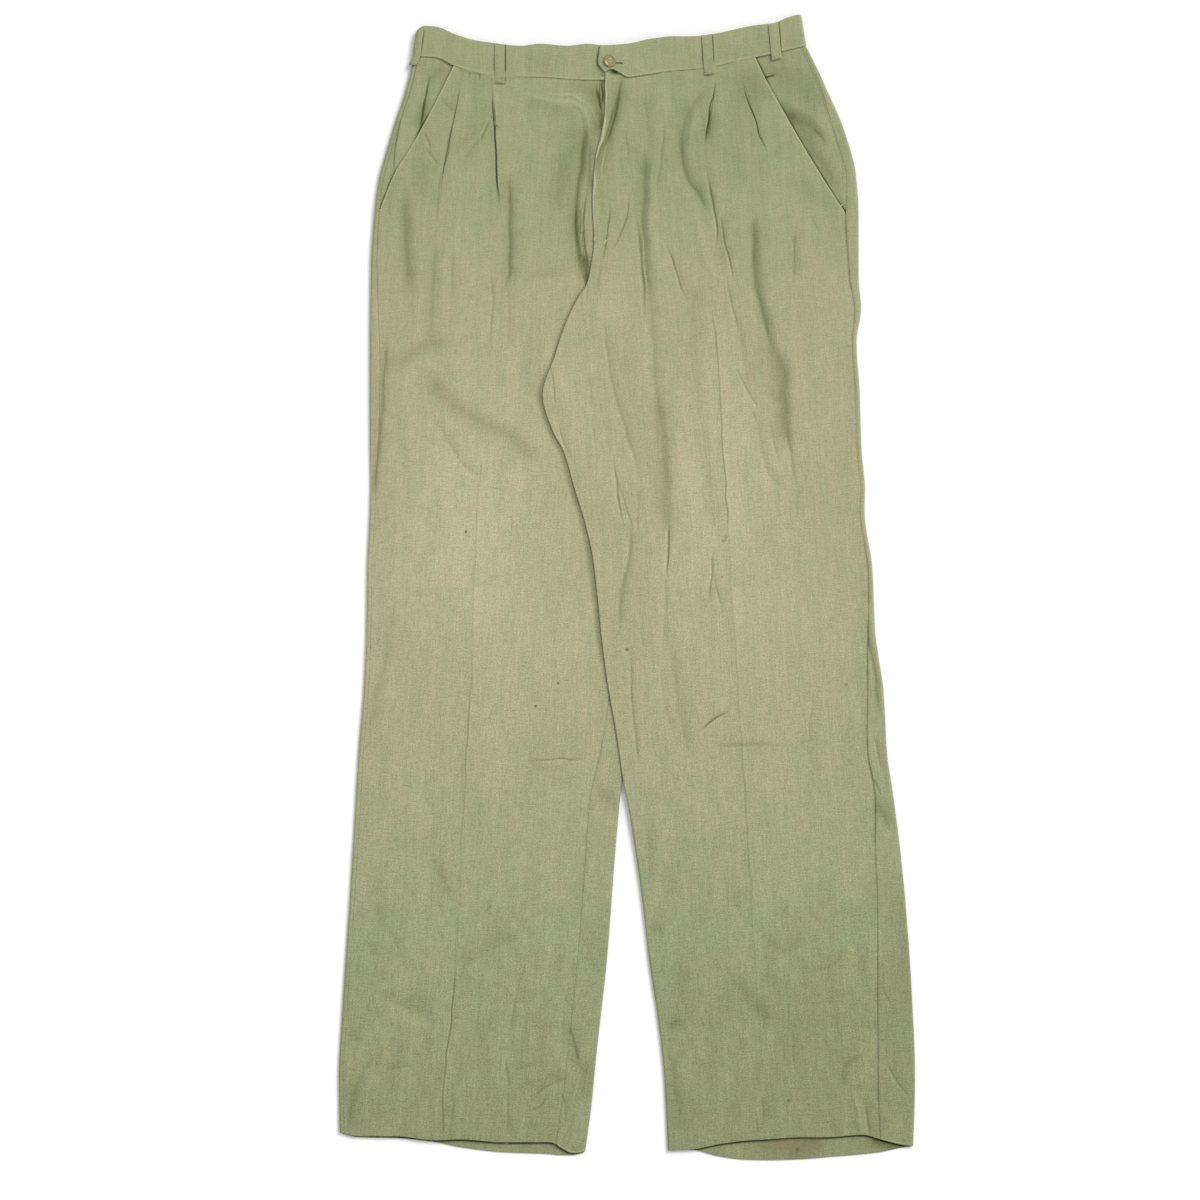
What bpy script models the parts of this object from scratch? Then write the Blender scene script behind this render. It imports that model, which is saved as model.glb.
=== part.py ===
"""Double-pleated linen trousers lying flat on their back, front up, the left leg over the right.

Tables and sizes are in millimetres, and MM turns them into metres where the meshes are made.
+X is the wearer's left, +Y runs from the hems up to the waist, and +Z is up from the surface that
the trousers lie on.  The origin is under the middle of their outline, on that surface.

Every cloth piece is a wall: an outer skin of points worked out row by row down the garment, an inner
skin one cloth thickness inside it, and a rim.  Left and right are the wearer's.
"""

import math
from collections import namedtuple

import bmesh
import bpy
from mathutils import Matrix

MM = 0.001

# Driving dimensions, mm
CLOTH = 1.2            # wall of one ply of the linen with its crumple
HEM_CLOTH = 1.9        # the hems are turned up, so thicker
BAND = 2.0             # waistband: two plies and interlining
BAG = 1.0              # pocket bag, two plies of pocketing
GAP = 0.3              # between pieces at a seam
LIE = 0.4              # between layers that lie on each other
TURN_UNDER = 6.0       # cloth folded under at the fly edge and the left leg's inner fold
FOLD_ROOM = 3.0        # the left leg's two plies and the room between them at its inner fold
BACK_RISE = 1.5        # the back lies this high at the waist, over its belt loops
REACH = 50.0           # the left leg settles over this distance beside the right leg
RAMP = 28.0            # its lower layer does so sooner
LOOP_WIDTH = 10.0
LOOP_CLOTH = 1.2
LOOP_ARCH = 0.9
BUTTON_DIAMETER = 13.4
BUTTON_HEIGHT = 2.6
BAND_TOP = 7.6         # top of the waistband's front over the surface
FOLD_STEPS = 4         # facets round a fold
MEET_STEPS = 12        # turns of the search for a row's crossing with a line
POCKET_END = 375.0     # y where the slant openings meet the side seams
CROTCH_Y = 192.5
SEAT_FOLD_Y = 242.5    # where the centre-back seam passes round the right leg's inner fold
SEAT_FOLD_DROP = 1.6   # the right leg's top is this much lower where that fold begins
SEAT_LIFT_SHARE = 0.7  # share of the left leg's lift that is left at the seat fold
SEAT_LIFT_RUN = 60.0   # above it the lift dies out over this distance
EDGE_ROOM = 3.0        # a front's crumple begins this far in from a fold
EDGE_SHARE = 1 / 9     # and reaches its full height over this share of the width
INSEAM_ROOM = 5.0      # least width of the left back over the right leg
FRONT_LAP = 8.0        # the right front lies flat this far before the left leg covers it
PUFF_POWER = 0.8       # roundness of a leg's section
OVER_FLAT = 0.5        # the left leg is this much less puffed where it lies over the right
TURN_LEVEL_FROM = 478.0    # the left leg's turned edge rises to the band from this y
TURN_LEVEL_RUN = 24.0

# Pleats and soft folds, mm
PLEAT_HALF = 0.6       # half the width over which a pleat's edge steps down
PLEAT_SPREAD = 22.0    # its height falls off over this distance
PLEAT_FADE = 90.0      # it dies out over this length at its bottom
PLEAT_HELD = 0.5       # the waist seam holds it down by this share
PLEAT_HELD_FROM = 470.0
PLEAT_HELD_RUN = 30.0
FOLD_OVERRUN = 12.0    # a soft fold fades out past its ends
FOLD_FADE = 30.0

# Waistband, mm
OVERLAP_END = -27.0    # x of the overlap's end in front, at mid height
UNDERLAP_END = 13.0    # x where the underlap ends, under it
CENTRE_BACK = -18.0
OVERLAP_LIFT = 3.0     # the overlap lies this much higher, on the underlap
LIFT_END = 20.0        # up to this x, and then comes down
LIFT_RUN = 45.0
CORNER_LIFT = 6.0      # the overlap's lower corner is rounded up by this
CORNER_RUN = 16.0      # over this length
CORNER_LEAN = -3.0     # and its end leans by this from seam to top
FOLD_LEAN = {-1: 3.5, 1: -5.0}     # lean of the band's side fold, by side
BAND_FOLD_ROOM = 0.8   # its side fold begins this far beyond the side seam
BACK_SHORT = 1.5       # the back's top edge lies this far below the front's
BAND_SHARES = (0.0, 0.5, 1.0)

# Belt loops: their levels are shares of the band's height over the waist seam
LOOP_LEVELS = (-1.0, -0.25, 0.12, 0.55, 0.9, 0.96)
LOOP_RISE = (0.5, 0.3, 0.8, 1.0, 0.6, 0.0)
BACK_LOOP_LEVELS = (-1.0, 0.0, 0.5, 0.9)
SIDE_LOOP_LEVELS = (-0.26, 0.0, 0.5, 0.93)
SIDE_LOOP_SPREAD = 10.0    # its foot follows the hip outwards
SIDE_LOOP_FRONT = 5.0      # how much of it lies on the front

# Pockets, mm
FACING_DROP = CLOTH + LIE      # a facing lies this far below the front's top
FACING_LAP = 26.0              # how far it runs on under the front at the waist
FACING_LAP_LOW = 0.45          # share of that at its lower end
FACING_STEP = 0.5              # it starts down this far outside the opening
FACING_ROWS = (0, 1, 2, 3, 4)  # rows of the panels that it shares
FACING_DROPS = (0.15, 0.6, 1.0, 1.0, 1.0, 1.0)

# Fly, mm
SHIELD_TOP = CLOTH + GAP + BAG
SHIELD_INSET = 2.0         # in from the fly edge
SHIELD_WIDTH = 40.0
SHIELD_FOOT = 18.0         # its width at the bottom
SHIELD_FOOT_Y = 320.0
SHIELD_TAPER = 60.0
ZIP_TOP = SHIELD_TOP + GAP + BAG
ZIP_COLUMNS = (4, 14, 15, 18, 19, 29)      # across the two tapes, from the fly edge
ZIP_RAISED = (0, 0, 0.6, 0.6, 0, 0)        # the tooth strip stands up between them
ZIP_MIDDLE = 16.5
ZIP_END = 330.0
SLIDER_Y = 488.0
SLIDER_THICKNESS = 1.8
SLIDER_OUTLINE = ((3.5, 4.5), (2.5, -4.5), (2.2, -6), (2.6, -20), (1.4, -23))  # half width, place along

# Button, mm
BUTTON_X = -17.0
BUTTON_Y = 527.0
BUTTON_BOTTOM = BAND_TOP + OVERLAP_LIFT + 0.6
BUTTON_STEPS = 24
BUTTON_PROFILE = (         # share of the radius, share of the height
    (0.0, 0.35), (0.80, 0.0), (0.95, 0.2), (1.0, 0.55), (0.95, 0.9), (0.84, 1.0), (0.70, 0.86), (0.0, 0.72),
)
HOLE_SPACING = 1.5         # from the middle, along and across
HOLE_RADIUS = 0.8
HOLE_OVERCUT = 2.0
THREAD_RADIUS = 0.45
SHANK_RADIUS = 1.0
PLATE_RADIUS = 3.0         # the strands spread out over this under the button
PLATE_HEIGHT = 0.4
BAR_WIDTH = 0.8            # a stitch over the button's face
BAR_HEIGHT = 0.7
SLOT_LENGTH = 18.0
SLOT_WIDTH = 2.4
SLOT_CUT = (4.0, 16.0)     # from under to over the overlap

# Rows down the garment: y, and how far the row is drawn towards the waist seam or the hem
Row = namedtuple("Row", "y waist hem")
WAIST_REACH = 380.0    # rows above this are drawn towards the waist seam
RISE_FROM = 0.62       # shares of that way between which the backs rise
RISE_TO = 0.86
ROWS = (
    Row(WAIST_REACH, 1, 0), Row(WAIST_REACH, RISE_TO, 0), Row(WAIST_REACH, RISE_FROM, 0),
    Row(WAIST_REACH, 0.32, 0), Row(WAIST_REACH, 0, 0),
    Row(344, 0, 0), Row(308, 0, 0), Row(276, 0, 0), Row(SEAT_FOLD_Y, 0, 0), Row(217.5, 0, 0),
    Row(CROTCH_Y, 0, 0), Row(158, 0, 0), Row(120, 0, 0), Row(75, 0, 0), Row(20, 0, 0), Row(-40, 0, 0),
    Row(-95, 0, 0), Row(-145, 0, 0), Row(-190, 0, 0), Row(-222, 0, 0), Row(-270, 0, 0), Row(-335, 0, 0),
    Row(-405, 0, 0), Row(-475, 0, 0), Row(-475, 0, 0.5), Row(-475, 0, 1.0),
)
SEAT_FOLD_ROW = 8
CROTCH_ROW = 10

# Waistband: its top edge and the waist seam under it, along x
Waist = namedtuple("Waist", "x top seam")
WAIST = (
    Waist(-215, 554.5, 529), Waist(-210, 557, 529.5), Waist(-203, 561.5, 530), Waist(-190, 560.5, 529),
    Waist(-173, 553.5, 521), Waist(-154, 547.5, 514.5), Waist(-135, 544.5, 511.5), Waist(-106, 541.5, 510),
    Waist(-87, 543.5, 509.5), Waist(-60, 541.5, 507.5), Waist(-39, 543.5, 506.5), Waist(-24, 542, 506.5),
    Waist(1, 543.5, 509), Waist(24, 548.5, 512.5), Waist(47, 551, 515.8), Waist(64, 551, 517),
    Waist(87, 553.5, 520), Waist(106, 557.5, 524.5), Waist(125, 561.5, 528.5), Waist(148, 564.5, 533.5),
    Waist(161, 570, 536.5), Waist(172, 572.5, 539), Waist(180, 572.5, 541),
)

# Hems: the edge of the upper layer and of the lower one, along x
Hem = namedtuple("Hem", "x upper lower")
RIGHT_HEM = (
    Hem(-288, -544.5, -545), Hem(-269, -548.5, -549.5), Hem(-231, -548.5, -550.5), Hem(-192, -552.5, -554.5),
    Hem(-167, -551.5, -559.5), Hem(-125, -554.5, -564.5), Hem(-77, -554.5, -566.5), Hem(-68, -559, -567.5),
    Hem(-55, -565.5, -567.5), Hem(-40, -563.5, -564),
)
LEFT_HEM = (
    Hem(41, -563, -562), Hem(66, -561.5, -562.5), Hem(91, -556.5, -568.5), Hem(118, -553, -572),
    Hem(141, -551.5, -572.5), Hem(173, -549.5, -571.5), Hem(200, -549.5, -569.5), Hem(236, -547, -566.5),
    Hem(253, -551.5, -564.5), Hem(272, -556.5, -560.5), Hem(286, -558.5, -558.5),
)

# Outer fold of each leg, and how far in from it the side seam lies on top
Side = namedtuple("Side", "y fold inset")
RIGHT_SIDE = (
    Side(545, -212, 4.5), Side(527, -214, 4.5), Side(497, -221, 4.5), Side(467, -231, 4.5),
    Side(437, -240, 4.5), Side(407, -248, 4.5), Side(377, -252, 4.5), Side(317, -256, 6),
    Side(224, -257, 10), Side(158, -257, 9),
    Side(95, -256.5, 5), Side(20, -259.5, 4.5), Side(-42, -260.5, 4.5), Side(-102, -263, 4.5),
    Side(-162, -268, 4.5), Side(-222, -271.5, 4.5), Side(-312, -277, 4.5), Side(-432, -285, 4.5),
    Side(-492, -288, 4.5), Side(-560, -287, 4.5),
)
LEFT_SIDE = (
    Side(541, 179, 4.5), Side(527, 186, 4.5), Side(497, 200, 6), Side(457, 217, 11), Side(411, 229, 10),
    Side(371, 232, 13), Side(310, 232, 9), Side(248, 231, 4.5), Side(197, 234, 4.5), Side(137, 236, 4.5),
    Side(77, 239, 4.5), Side(17, 246, 4.5), Side(-42, 249, 7), Side(-102, 257, 16), Side(-165, 262.5, 19.5),
    Side(-200, 265, 18), Side(-252, 272, 24), Side(-322, 279, 29), Side(-402, 284.5, 34.5),
    Side(-490, 288, 37.5), Side(-560, 286, 33),
)

# Inner edge of the right front: under the fly, down the front rise to the crotch, then the inseam
Line = namedtuple("Line", "y x")
RIGHT_INNER = (
    Line(515, -13), Line(480, -13), Line(430, -22), Line(388, -26), Line(337, -27), Line(304, -33),
    Line(288, -43), Line(260, -59), Line(231, -69.5), Line(CROTCH_Y, -81), Line(158, -66), Line(135, -53),
    Line(97, -40), Line(65, -31), Line(28, -23), Line(-12, -18), Line(-54, -15), Line(-102, -17),
    Line(-166, -27), Line(-212, -37), Line(-284, -42.5), Line(-352, -48), Line(-436, -56),
    Line(-506, -64), Line(-562, -72),
)
# Inner fold of the left leg: the fly edge, then the fold that lies over the right leg
LEFT_FOLD = (
    Line(520, -22), Line(480, -22), Line(453, -26), Line(430, -31.5), Line(388, -34.5), Line(348, -33),
    Line(319, -36.5), Line(304, -40), Line(288, -50), Line(260, -65), Line(231, -75), Line(CROTCH_Y, -86.5),
    Line(158, -76), Line(135, -63), Line(97, -52), Line(65, -42), Line(28, -34), Line(-54, -25),
    Line(-92, -20),
    Line(-150, -10), Line(-190, -4.3), Line(-222, 2), Line(-312, 15), Line(-372, 22), Line(-432, 31),
    Line(-492, 37.5), Line(-565, 41),
)
# Centre-back seam down to the seat fold, then the right leg's inner fold, hidden under the left leg
UNDER_EDGE = (
    Line(545, -18), Line(515, -18), Line(440, -12), Line(380, -4), Line(320, 14), Line(276, 40),
    Line(SEAT_FOLD_Y, 62), Line(CROTCH_Y, 60), Line(158, 53), Line(117, 42), Line(67, 29), Line(7, 18),
    Line(-52, 10.5), Line(-112, 3.5), Line(-190, -4.5), Line(-222, -8), Line(-282, -13), Line(-372, -20),
    Line(-462, -30), Line(-522, -36), Line(-565, -42),
)
# Slant pocket openings, from the waist seam to the side seam
RIGHT_OPENING = (
    Line(524, -172), Line(470.5, -199), Line(436.5, -218), Line(416.5, -231), Line(POCKET_END, -248),
)
LEFT_OPENING = (
    Line(532, 127), Line(511, 137), Line(476.5, 156), Line(436.5, 179), Line(383.5, 212),
    Line(POCKET_END, 218),
)

# Pleat fold lines, and the creases that run on from them to the hems
Pleats = namedtuple("Pleats", "y right_outer right_inner left_inner left_outer")
PLEATS = (
    Pleats(515, -164, -135.5, 90, 116), Pleats(480, -169, -133.5, 85, 125),
    Pleats(450, -176, -131.5, 78, 137), Pleats(415, -183, -129.5, 80, 143),
    Pleats(357, -190, -128.5, 89, 149), Pleats(273, -196, -133, 86, 153),
    Pleats(118, -203, -147, 97.5, 162), Pleats(2, -206, -153, 104.5, 170),
    Pleats(-82, -209, -155, 110, 176), Pleats(-175, -213, -161, 116, 182),
    Pleats(-400, -225, -172, 130, 196), Pleats(-490, -232, -183, 137, 203),
    Pleats(-565, -235, -183, 142, 207),
)
# How high each pleat's folded edge stands over the cloth beside it, and where it dies out
Pleat = namedtuple("Pleat", "line fly_side height bottom")
PLEAT_STEPS = {
    "right": (Pleat("right_outer", 1, 1.1, 330), Pleat("right_inner", 1, 1.4, 350)),
    "left": (Pleat("left_inner", -1, 1.4, 390), Pleat("left_outer", -1, 1.1, 400)),
}

# Top of the upper layer where nothing lifts it
Level = namedtuple("Level", "y top puff")
LEVELS = (
    Level(545, 7.0, 0.0), Level(505, 6.8, 0.3), Level(480, 6.6, 1.3), Level(380, 6.0, 2.4),
    Level(300, 5.3, 2.4), Level(CROTCH_Y, 4.5, 2.4), Level(-190, 4.5, 1.9), Level(-480, 4.5, 1.6),
    Level(-565, 4.5, 1.2),
)

# The largest soft folds: a ridge or, with a negative height, a trough from one end to the other
Fold = namedtuple("Fold", "leg x1 y1 x2 y2 width height")
FOLDS = (
    Fold("right", -43, 460, -43, 320, 13, -1.3),
    Fold("right", -118, 396, -119, 300, 15, -0.9),
    Fold("right", -222, 235, -172, 187, 14, -1.0),
    Fold("right", -172, 330, -178, 285, 14, -0.8),
    Fold("left", 18, 440, 20, 273, 15, -1.2),
    Fold("left", 40, 255, 42, 10, 16, -0.8),
    Fold("left", 127, 361, 157, 206, 14, 1.1),
    Fold("left", 157, 206, 172, 80, 16, 1.1),
    Fold("left", 109, 216, 132, 180, 14, -0.8),
    Fold("left", 230, -515, 236, -545, 14, 1.0),
)


def smooth(t):
    """0 up to t = 0, 1 from t = 1, and an S-curve between."""
    t = min(max(t, 0.0), 1.0)
    return t * t * (3 - 2 * t)


def mix(a, b, t):
    return a + (b - a) * t


def curve(table, key, column):
    """A function that runs smoothly through a table's column, read along its key."""
    rows = sorted(table, key=lambda row: getattr(row, key))
    at = [getattr(row, key) for row in rows]
    values = [getattr(row, column) for row in rows]
    steps = [(values[n + 1] - values[n]) / (at[n + 1] - at[n]) for n in range(len(rows) - 1)]
    slopes = [steps[0]] + [0.0] * (len(rows) - 2) + [steps[-1]]
    for n in range(1, len(rows) - 1):
        if steps[n - 1] * steps[n] > 0:
            slopes[n] = 2 * steps[n - 1] * steps[n] / (steps[n - 1] + steps[n])

    def value(where):
        if where <= at[0]:
            return values[0]
        if where >= at[-1]:
            return values[-1]
        n = max(k for k in range(len(at) - 1) if at[k] <= where)
        span = at[n + 1] - at[n]
        t = (where - at[n]) / span
        start = (1 + 2 * t) * (1 - t) ** 2 * values[n] + t * (1 - t) ** 2 * span * slopes[n]
        return start + t * t * (3 - 2 * t) * values[n + 1] + t * t * (t - 1) * span * slopes[n + 1]

    return value


waist_top = curve(WAIST, "x", "top")
waist_seam_line = curve(WAIST, "x", "seam")
right_fold = curve(RIGHT_SIDE, "y", "fold")
right_inset = curve(RIGHT_SIDE, "y", "inset")
left_fold_outer = curve(LEFT_SIDE, "y", "fold")
left_inset = curve(LEFT_SIDE, "y", "inset")
right_inner = curve(RIGHT_INNER, "y", "x")
left_fold = curve(LEFT_FOLD, "y", "x")
under_edge = curve(UNDER_EDGE, "y", "x")
right_opening = curve(RIGHT_OPENING, "y", "x")
left_opening = curve(LEFT_OPENING, "y", "x")
rest_level = curve(LEVELS, "y", "top")
puff_level = curve(LEVELS, "y", "puff")
PLEAT_LINES = {name: curve(PLEATS, "y", name) for name in Pleats._fields[1:]}
HEM_LINES = {
    (leg, layer): curve(table, "x", layer)
    for leg, table in (("right", RIGHT_HEM), ("left", LEFT_HEM))
    for layer in ("upper", "lower")
}


def waist_seam(x, corner):
    """The waist seam's y.  With corner 1 it follows the overlap's rounded lower corner."""
    return waist_seam_line(x) + corner * CORNER_LIFT * (1 - smooth((x - OVERLAP_END) / CORNER_RUN))


def row_y(i, x, leg, under=0.0):
    """Height of row i at x, under being 0 on the upper layer and 1 on the lower."""
    row = ROWS[i]
    corner = 1.0 if leg == "left" and under == 0.0 else 0.0
    hem = mix(HEM_LINES[leg, "upper"](x), HEM_LINES[leg, "lower"](x), under)
    return row.y + row.waist * (waist_seam(x, corner) - GAP - row.y) + row.hem * (hem - row.y)


def meet(i, line, leg, under=0.0):
    """x where row i meets a line given as a function of y."""
    x = line(row_y(i, line(ROWS[i].y), leg, under))
    for _ in range(MEET_STEPS):
        x = line(row_y(i, x, leg, under))
    return x


def across(start, end, shares):
    return [mix(start, end, share) for share in shares]


# ---- heights of the layers ----

def hump(u):
    """A leg's rounded section: 0 at both its folds, u = 0 and 1, and 1 in the middle."""
    return math.sin(math.pi * min(max(u, 0.0), 1.0)) ** PUFF_POWER


def crumple_share(u):
    """1 over a front, falling to 0 at its two edges."""
    return smooth(u / EDGE_SHARE) * smooth((1 - u) / EDGE_SHARE)


def fold_height(leg, x, y):
    """What the soft folds and pleats of one leg add to its top."""
    total = 0.0
    for fold in FOLDS:
        if fold.leg != leg:
            continue
        dx, dy = fold.x2 - fold.x1, fold.y2 - fold.y1
        length = math.hypot(dx, dy)
        along = ((x - fold.x1) * dx + (y - fold.y1) * dy) / length
        away = ((x - fold.x1) * dy - (y - fold.y1) * dx) / length
        to_end = length - along
        fade = smooth((along + FOLD_OVERRUN) / FOLD_FADE) * smooth((to_end + FOLD_OVERRUN) / FOLD_FADE)
        total += fold.height * fade * math.exp(-((away / (fold.width / 2)) ** 2))
    for pleat in PLEAT_STEPS[leg]:
        away = (x - PLEAT_LINES[pleat.line](y)) * pleat.fly_side
        if away > 0:
            held = 1 - PLEAT_HELD * smooth((y - PLEAT_HELD_FROM) / PLEAT_HELD_RUN)
            fade = smooth((y - pleat.bottom) / PLEAT_FADE)
            total += pleat.height * held * fade * math.exp(-away / PLEAT_SPREAD)
    return total


def right_cover(y):
    """x beyond which the right front lies flat under the left leg, or meets its own inner fold."""
    return min(left_fold(y) - FRONT_LAP, under_edge(y) - EDGE_ROOM)


def right_top(x, y):
    start = right_fold(y) + EDGE_ROOM
    u = (x - start) / (right_cover(y) - start)
    return rest_level(y) + puff_level(y) * hump(u) + crumple_share(u) * fold_height("right", x, y)


def left_over(x, y):
    """1 where the left leg lies over the right one or over the fly, 0 well beside them."""
    return 1 - smooth((x - under_edge(y)) / REACH)


def turned_level(y):
    """Height that the left leg's turned edge lies at: on the right front, or at the waist on the underlap."""
    at_waist = smooth((y - TURN_LEVEL_FROM) / TURN_LEVEL_RUN)
    return mix(rest_level(y), BAND_TOP, at_waist) + LIE


def left_top(x, y):
    start = left_fold(y) + EDGE_ROOM
    u = (x - start) / (left_fold_outer(y) - EDGE_ROOM - start)
    over = left_over(x, y)
    level = mix(rest_level(y), turned_level(y) + FOLD_ROOM, over)
    puff = puff_level(y) * hump(u) * (1 - OVER_FLAT * over)
    return level + puff + crumple_share(u) * fold_height("left", x, y)


def waist_rise(x, y):
    """The backs lie higher beside the waist seam, where belt loops are under them."""
    share = (y - WAIST_REACH) / (waist_seam_line(x) - WAIST_REACH)
    return BACK_RISE * min(max((share - RISE_FROM) / (RISE_TO - RISE_FROM), 0.0), 1.0)


def right_floor(x, y):
    return waist_rise(x, y)


def leg_lift(x, y):
    """Underside of the left back: raised where the right leg is under it."""
    lift = (rest_level(CROTCH_Y) + LIE) * (1 - smooth((x - under_edge(y)) / RAMP))
    if y > SEAT_FOLD_Y:
        return lift * SEAT_LIFT_SHARE * (1 - smooth((y - SEAT_FOLD_Y) / SEAT_LIFT_RUN))
    full_below = ROWS[SEAT_FOLD_ROW + 1].y
    return lift * mix(SEAT_LIFT_SHARE, 1.0, smooth((SEAT_FOLD_Y - y) / (SEAT_FOLD_Y - full_below)))


def left_floor(x, y):
    return waist_rise(x, y) + leg_lift(x, y)


def left_turned(x, y):
    """Underside of the cloth that is folded under along the left leg's inner fold."""
    return turned_level(y) if y >= CROTCH_Y else leg_lift(x, y)


# ---- rows of knots: a knot is a point of the outer skin and the way out of the cloth there ----

Knot = namedtuple("Knot", "x y z nx nz")
Hip = namedtuple("Hip", "leg side fold inset opening top floor")
RIGHT_HIP = Hip("right", -1, right_fold, right_inset, right_opening, right_top, right_floor)
LEFT_HIP = Hip("left", 1, left_fold_outer, left_inset, left_opening, left_top, left_floor)
HIP_X = 215.0          # a row is above the pocket's end if it is at this distance from the middle
BACK_SHARES = (0, 0.12, 0.32, 0.52, 0.72, 0.88, 1.0)


def run(i, leg, xs, height, up):
    """Knots at xs across row i on a layer that faces up (1) or down (-1)."""
    under = 0.0 if up == 1 else 1.0
    knots = []
    for x in xs:
        y = row_y(i, x, leg, under)
        knots.append(Knot(x, y, height(x, y), 0.0, up))
    return knots


def turn(i, leg, start, side, top, bottom, under_bottom=1.0):
    """Knots round a fold from the upper layer to the lower, both ends left out."""
    radius = (top - bottom) / 2
    knots = []
    for k in range(1, FOLD_STEPS):
        angle = math.pi / 2 - math.pi * k / FOLD_STEPS
        x = start + side * radius * math.cos(angle)
        y = row_y(i, x, leg, under_bottom * (1 - math.sin(angle)) / 2)
        z = (top + bottom) / 2 + radius * math.sin(angle)
        knots.append(Knot(x, y, z, side * math.cos(angle), math.sin(angle)))
    return knots


def fold_start(i, leg, line, side, top, bottom):
    """x where a fold begins to turn down, and the heights of its two layers there."""
    fold = meet(i, line, leg)
    y = row_y(i, fold, leg)
    start = fold - side * (top(fold, y) - bottom(fold, y)) / 2
    y = row_y(i, start, leg)
    return start, top(start, y), bottom(start, y)


def side_line(hip):
    """x of the side seam, as a function of y."""
    return lambda y: hip.fold(y) - hip.side * hip.inset(y)


def front_xs(i, hip, inner):
    """Across a front from its opening or side seam to an inner x, with two columns at each pleat's edge."""
    above_pocket = row_y(i, hip.side * HIP_X, hip.leg) > POCKET_END
    outer = meet(i, hip.opening if above_pocket else side_line(hip), hip.leg)
    pleat_2 = meet(i, PLEAT_LINES[hip.leg + "_outer"], hip.leg)
    pleat_1 = meet(i, PLEAT_LINES[hip.leg + "_inner"], hip.leg)
    step = hip.side * PLEAT_HALF
    xs = across(outer, pleat_2 + step, (0, 0.35, 0.7, 1.0))
    xs += across(pleat_2 - step, pleat_1 + step, (0, 0.33, 0.67, 1.0))
    return xs + across(pleat_1 - step, inner, (0, 0.2, 0.42, 0.64, 0.84, 1.0))


def front_right_row(i):
    return run(i, "right", front_xs(i, RIGHT_HIP, meet(i, right_inner, "right")), right_top, 1)


def front_left_row(i):
    start, top, bottom = fold_start(i, "left", left_fold, -1, left_top, left_turned)
    knots = run(i, "left", front_xs(i, LEFT_HIP, start), left_top, 1)
    knots += turn(i, "left", start, -1, top, bottom, 0.0)
    edge = meet(i, left_fold, "left") + TURN_UNDER
    for x in (start, edge):
        y = row_y(i, x, "left")
        knots.append(Knot(x, y, left_turned(x, y), 0.0, -1))
    return knots


def over_xs(i, start, end_line, leg):
    """x of the columns between the right leg's inner fold and the inseam beside the crotch."""
    if i < SEAT_FOLD_ROW + 1:
        return []
    if i == SEAT_FOLD_ROW + 1:
        return across(start, mix(start, end_line(CROTCH_Y), 0.5), (0.5, 1.0))
    return across(start, meet(i, end_line, leg), (0.25, 0.5, 0.75, 1.0))


def back_right_row(i):
    """From the side seam on top, round the outer fold, across below and round the inner fold to the inseam."""
    start, top, bottom = fold_start(i, "right", right_fold, -1, right_top, right_floor)
    seam = meet(i, side_line(RIGHT_HIP), "right") - GAP
    knots = run(i, "right", [seam, start], right_top, 1)
    knots += turn(i, "right", start, -1, top, bottom)
    if i < SEAT_FOLD_ROW:
        floor_end = meet(i, under_edge, "right", 1.0) - GAP / 2
        return knots + run(i, "right", across(start, floor_end, BACK_SHARES), right_floor, -1)
    start_in, top, bottom = fold_start(i, "right", under_edge, 1, right_inner_top, right_floor)
    knots += run(i, "right", across(start, start_in, BACK_SHARES), right_floor, -1)
    knots += reversed(turn(i, "right", start_in, 1, top, bottom))
    xs = [start_in] + over_xs(i, start_in, lambda y: right_inner(y) + GAP, "right")
    return knots + run(i, "right", xs, right_inner_top, 1)


def right_inner_top(x, y):
    """Top of the right leg near its inner fold: lower just where the fold begins at the seat."""
    low = SEAT_FOLD_DROP * smooth((y - ROWS[SEAT_FOLD_ROW + 1].y) / (SEAT_FOLD_Y - ROWS[SEAT_FOLD_ROW + 1].y))
    return right_top(x, min(y, CROTCH_Y)) - low


def back_left_row(i):
    """From the side seam on top, round the outer fold, across below, and over the right leg to the inseam."""
    start, top, bottom = fold_start(i, "left", left_fold_outer, 1, left_top, left_floor)
    seam = meet(i, side_line(LEFT_HIP), "left") + GAP
    knots = run(i, "left", across(seam, start, (0, 0.5, 1)), left_top, 1)
    knots += turn(i, "left", start, 1, top, bottom)
    end = meet(i, lambda y: left_fold(y) + TURN_UNDER + GAP, "left", 1.0)
    inner = meet(i, under_edge, "left", 1.0) + GAP / 2
    if i >= CROTCH_ROW:
        inner = max(inner, end + INSEAM_ROOM)
    xs = across(start, inner + RAMP, (0, 0.15, 0.4, 0.7, 1.0))
    xs += across(inner + RAMP, inner, (0.35, 0.7, 1.0))
    if i == SEAT_FOLD_ROW + 1:
        xs += over_xs(i, inner, lambda y: left_fold(y) + TURN_UNDER + GAP, "left")
    elif i >= CROTCH_ROW:
        xs += across(inner, end, (0.25, 0.5, 0.75, 1.0))
    return knots + run(i, "left", xs, left_floor, -1)


# ---- building meshes ----

def fabric(name, colour, roughness, metallic=0.0):
    material = bpy.data.materials.new(name)
    material.use_nodes = True
    shader = material.node_tree.nodes["Principled BSDF"]
    shader.inputs["Base Color"].default_value = (*colour, 1)
    shader.inputs["Roughness"].default_value = roughness
    shader.inputs["Metallic"].default_value = metallic
    return material


def add_object(name, shape, material):
    bmesh.ops.recalc_face_normals(shape, faces=shape.faces)
    mesh = bpy.data.meshes.new(name)
    shape.to_mesh(mesh)
    shape.free()
    mesh.materials.append(material)
    mesh.shade_smooth()
    mesh.set_sharp_from_angle(angle=math.radians(35))
    obj = bpy.data.objects.new(name, mesh)
    bpy.context.scene.collection.objects.link(obj)
    return obj


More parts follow.
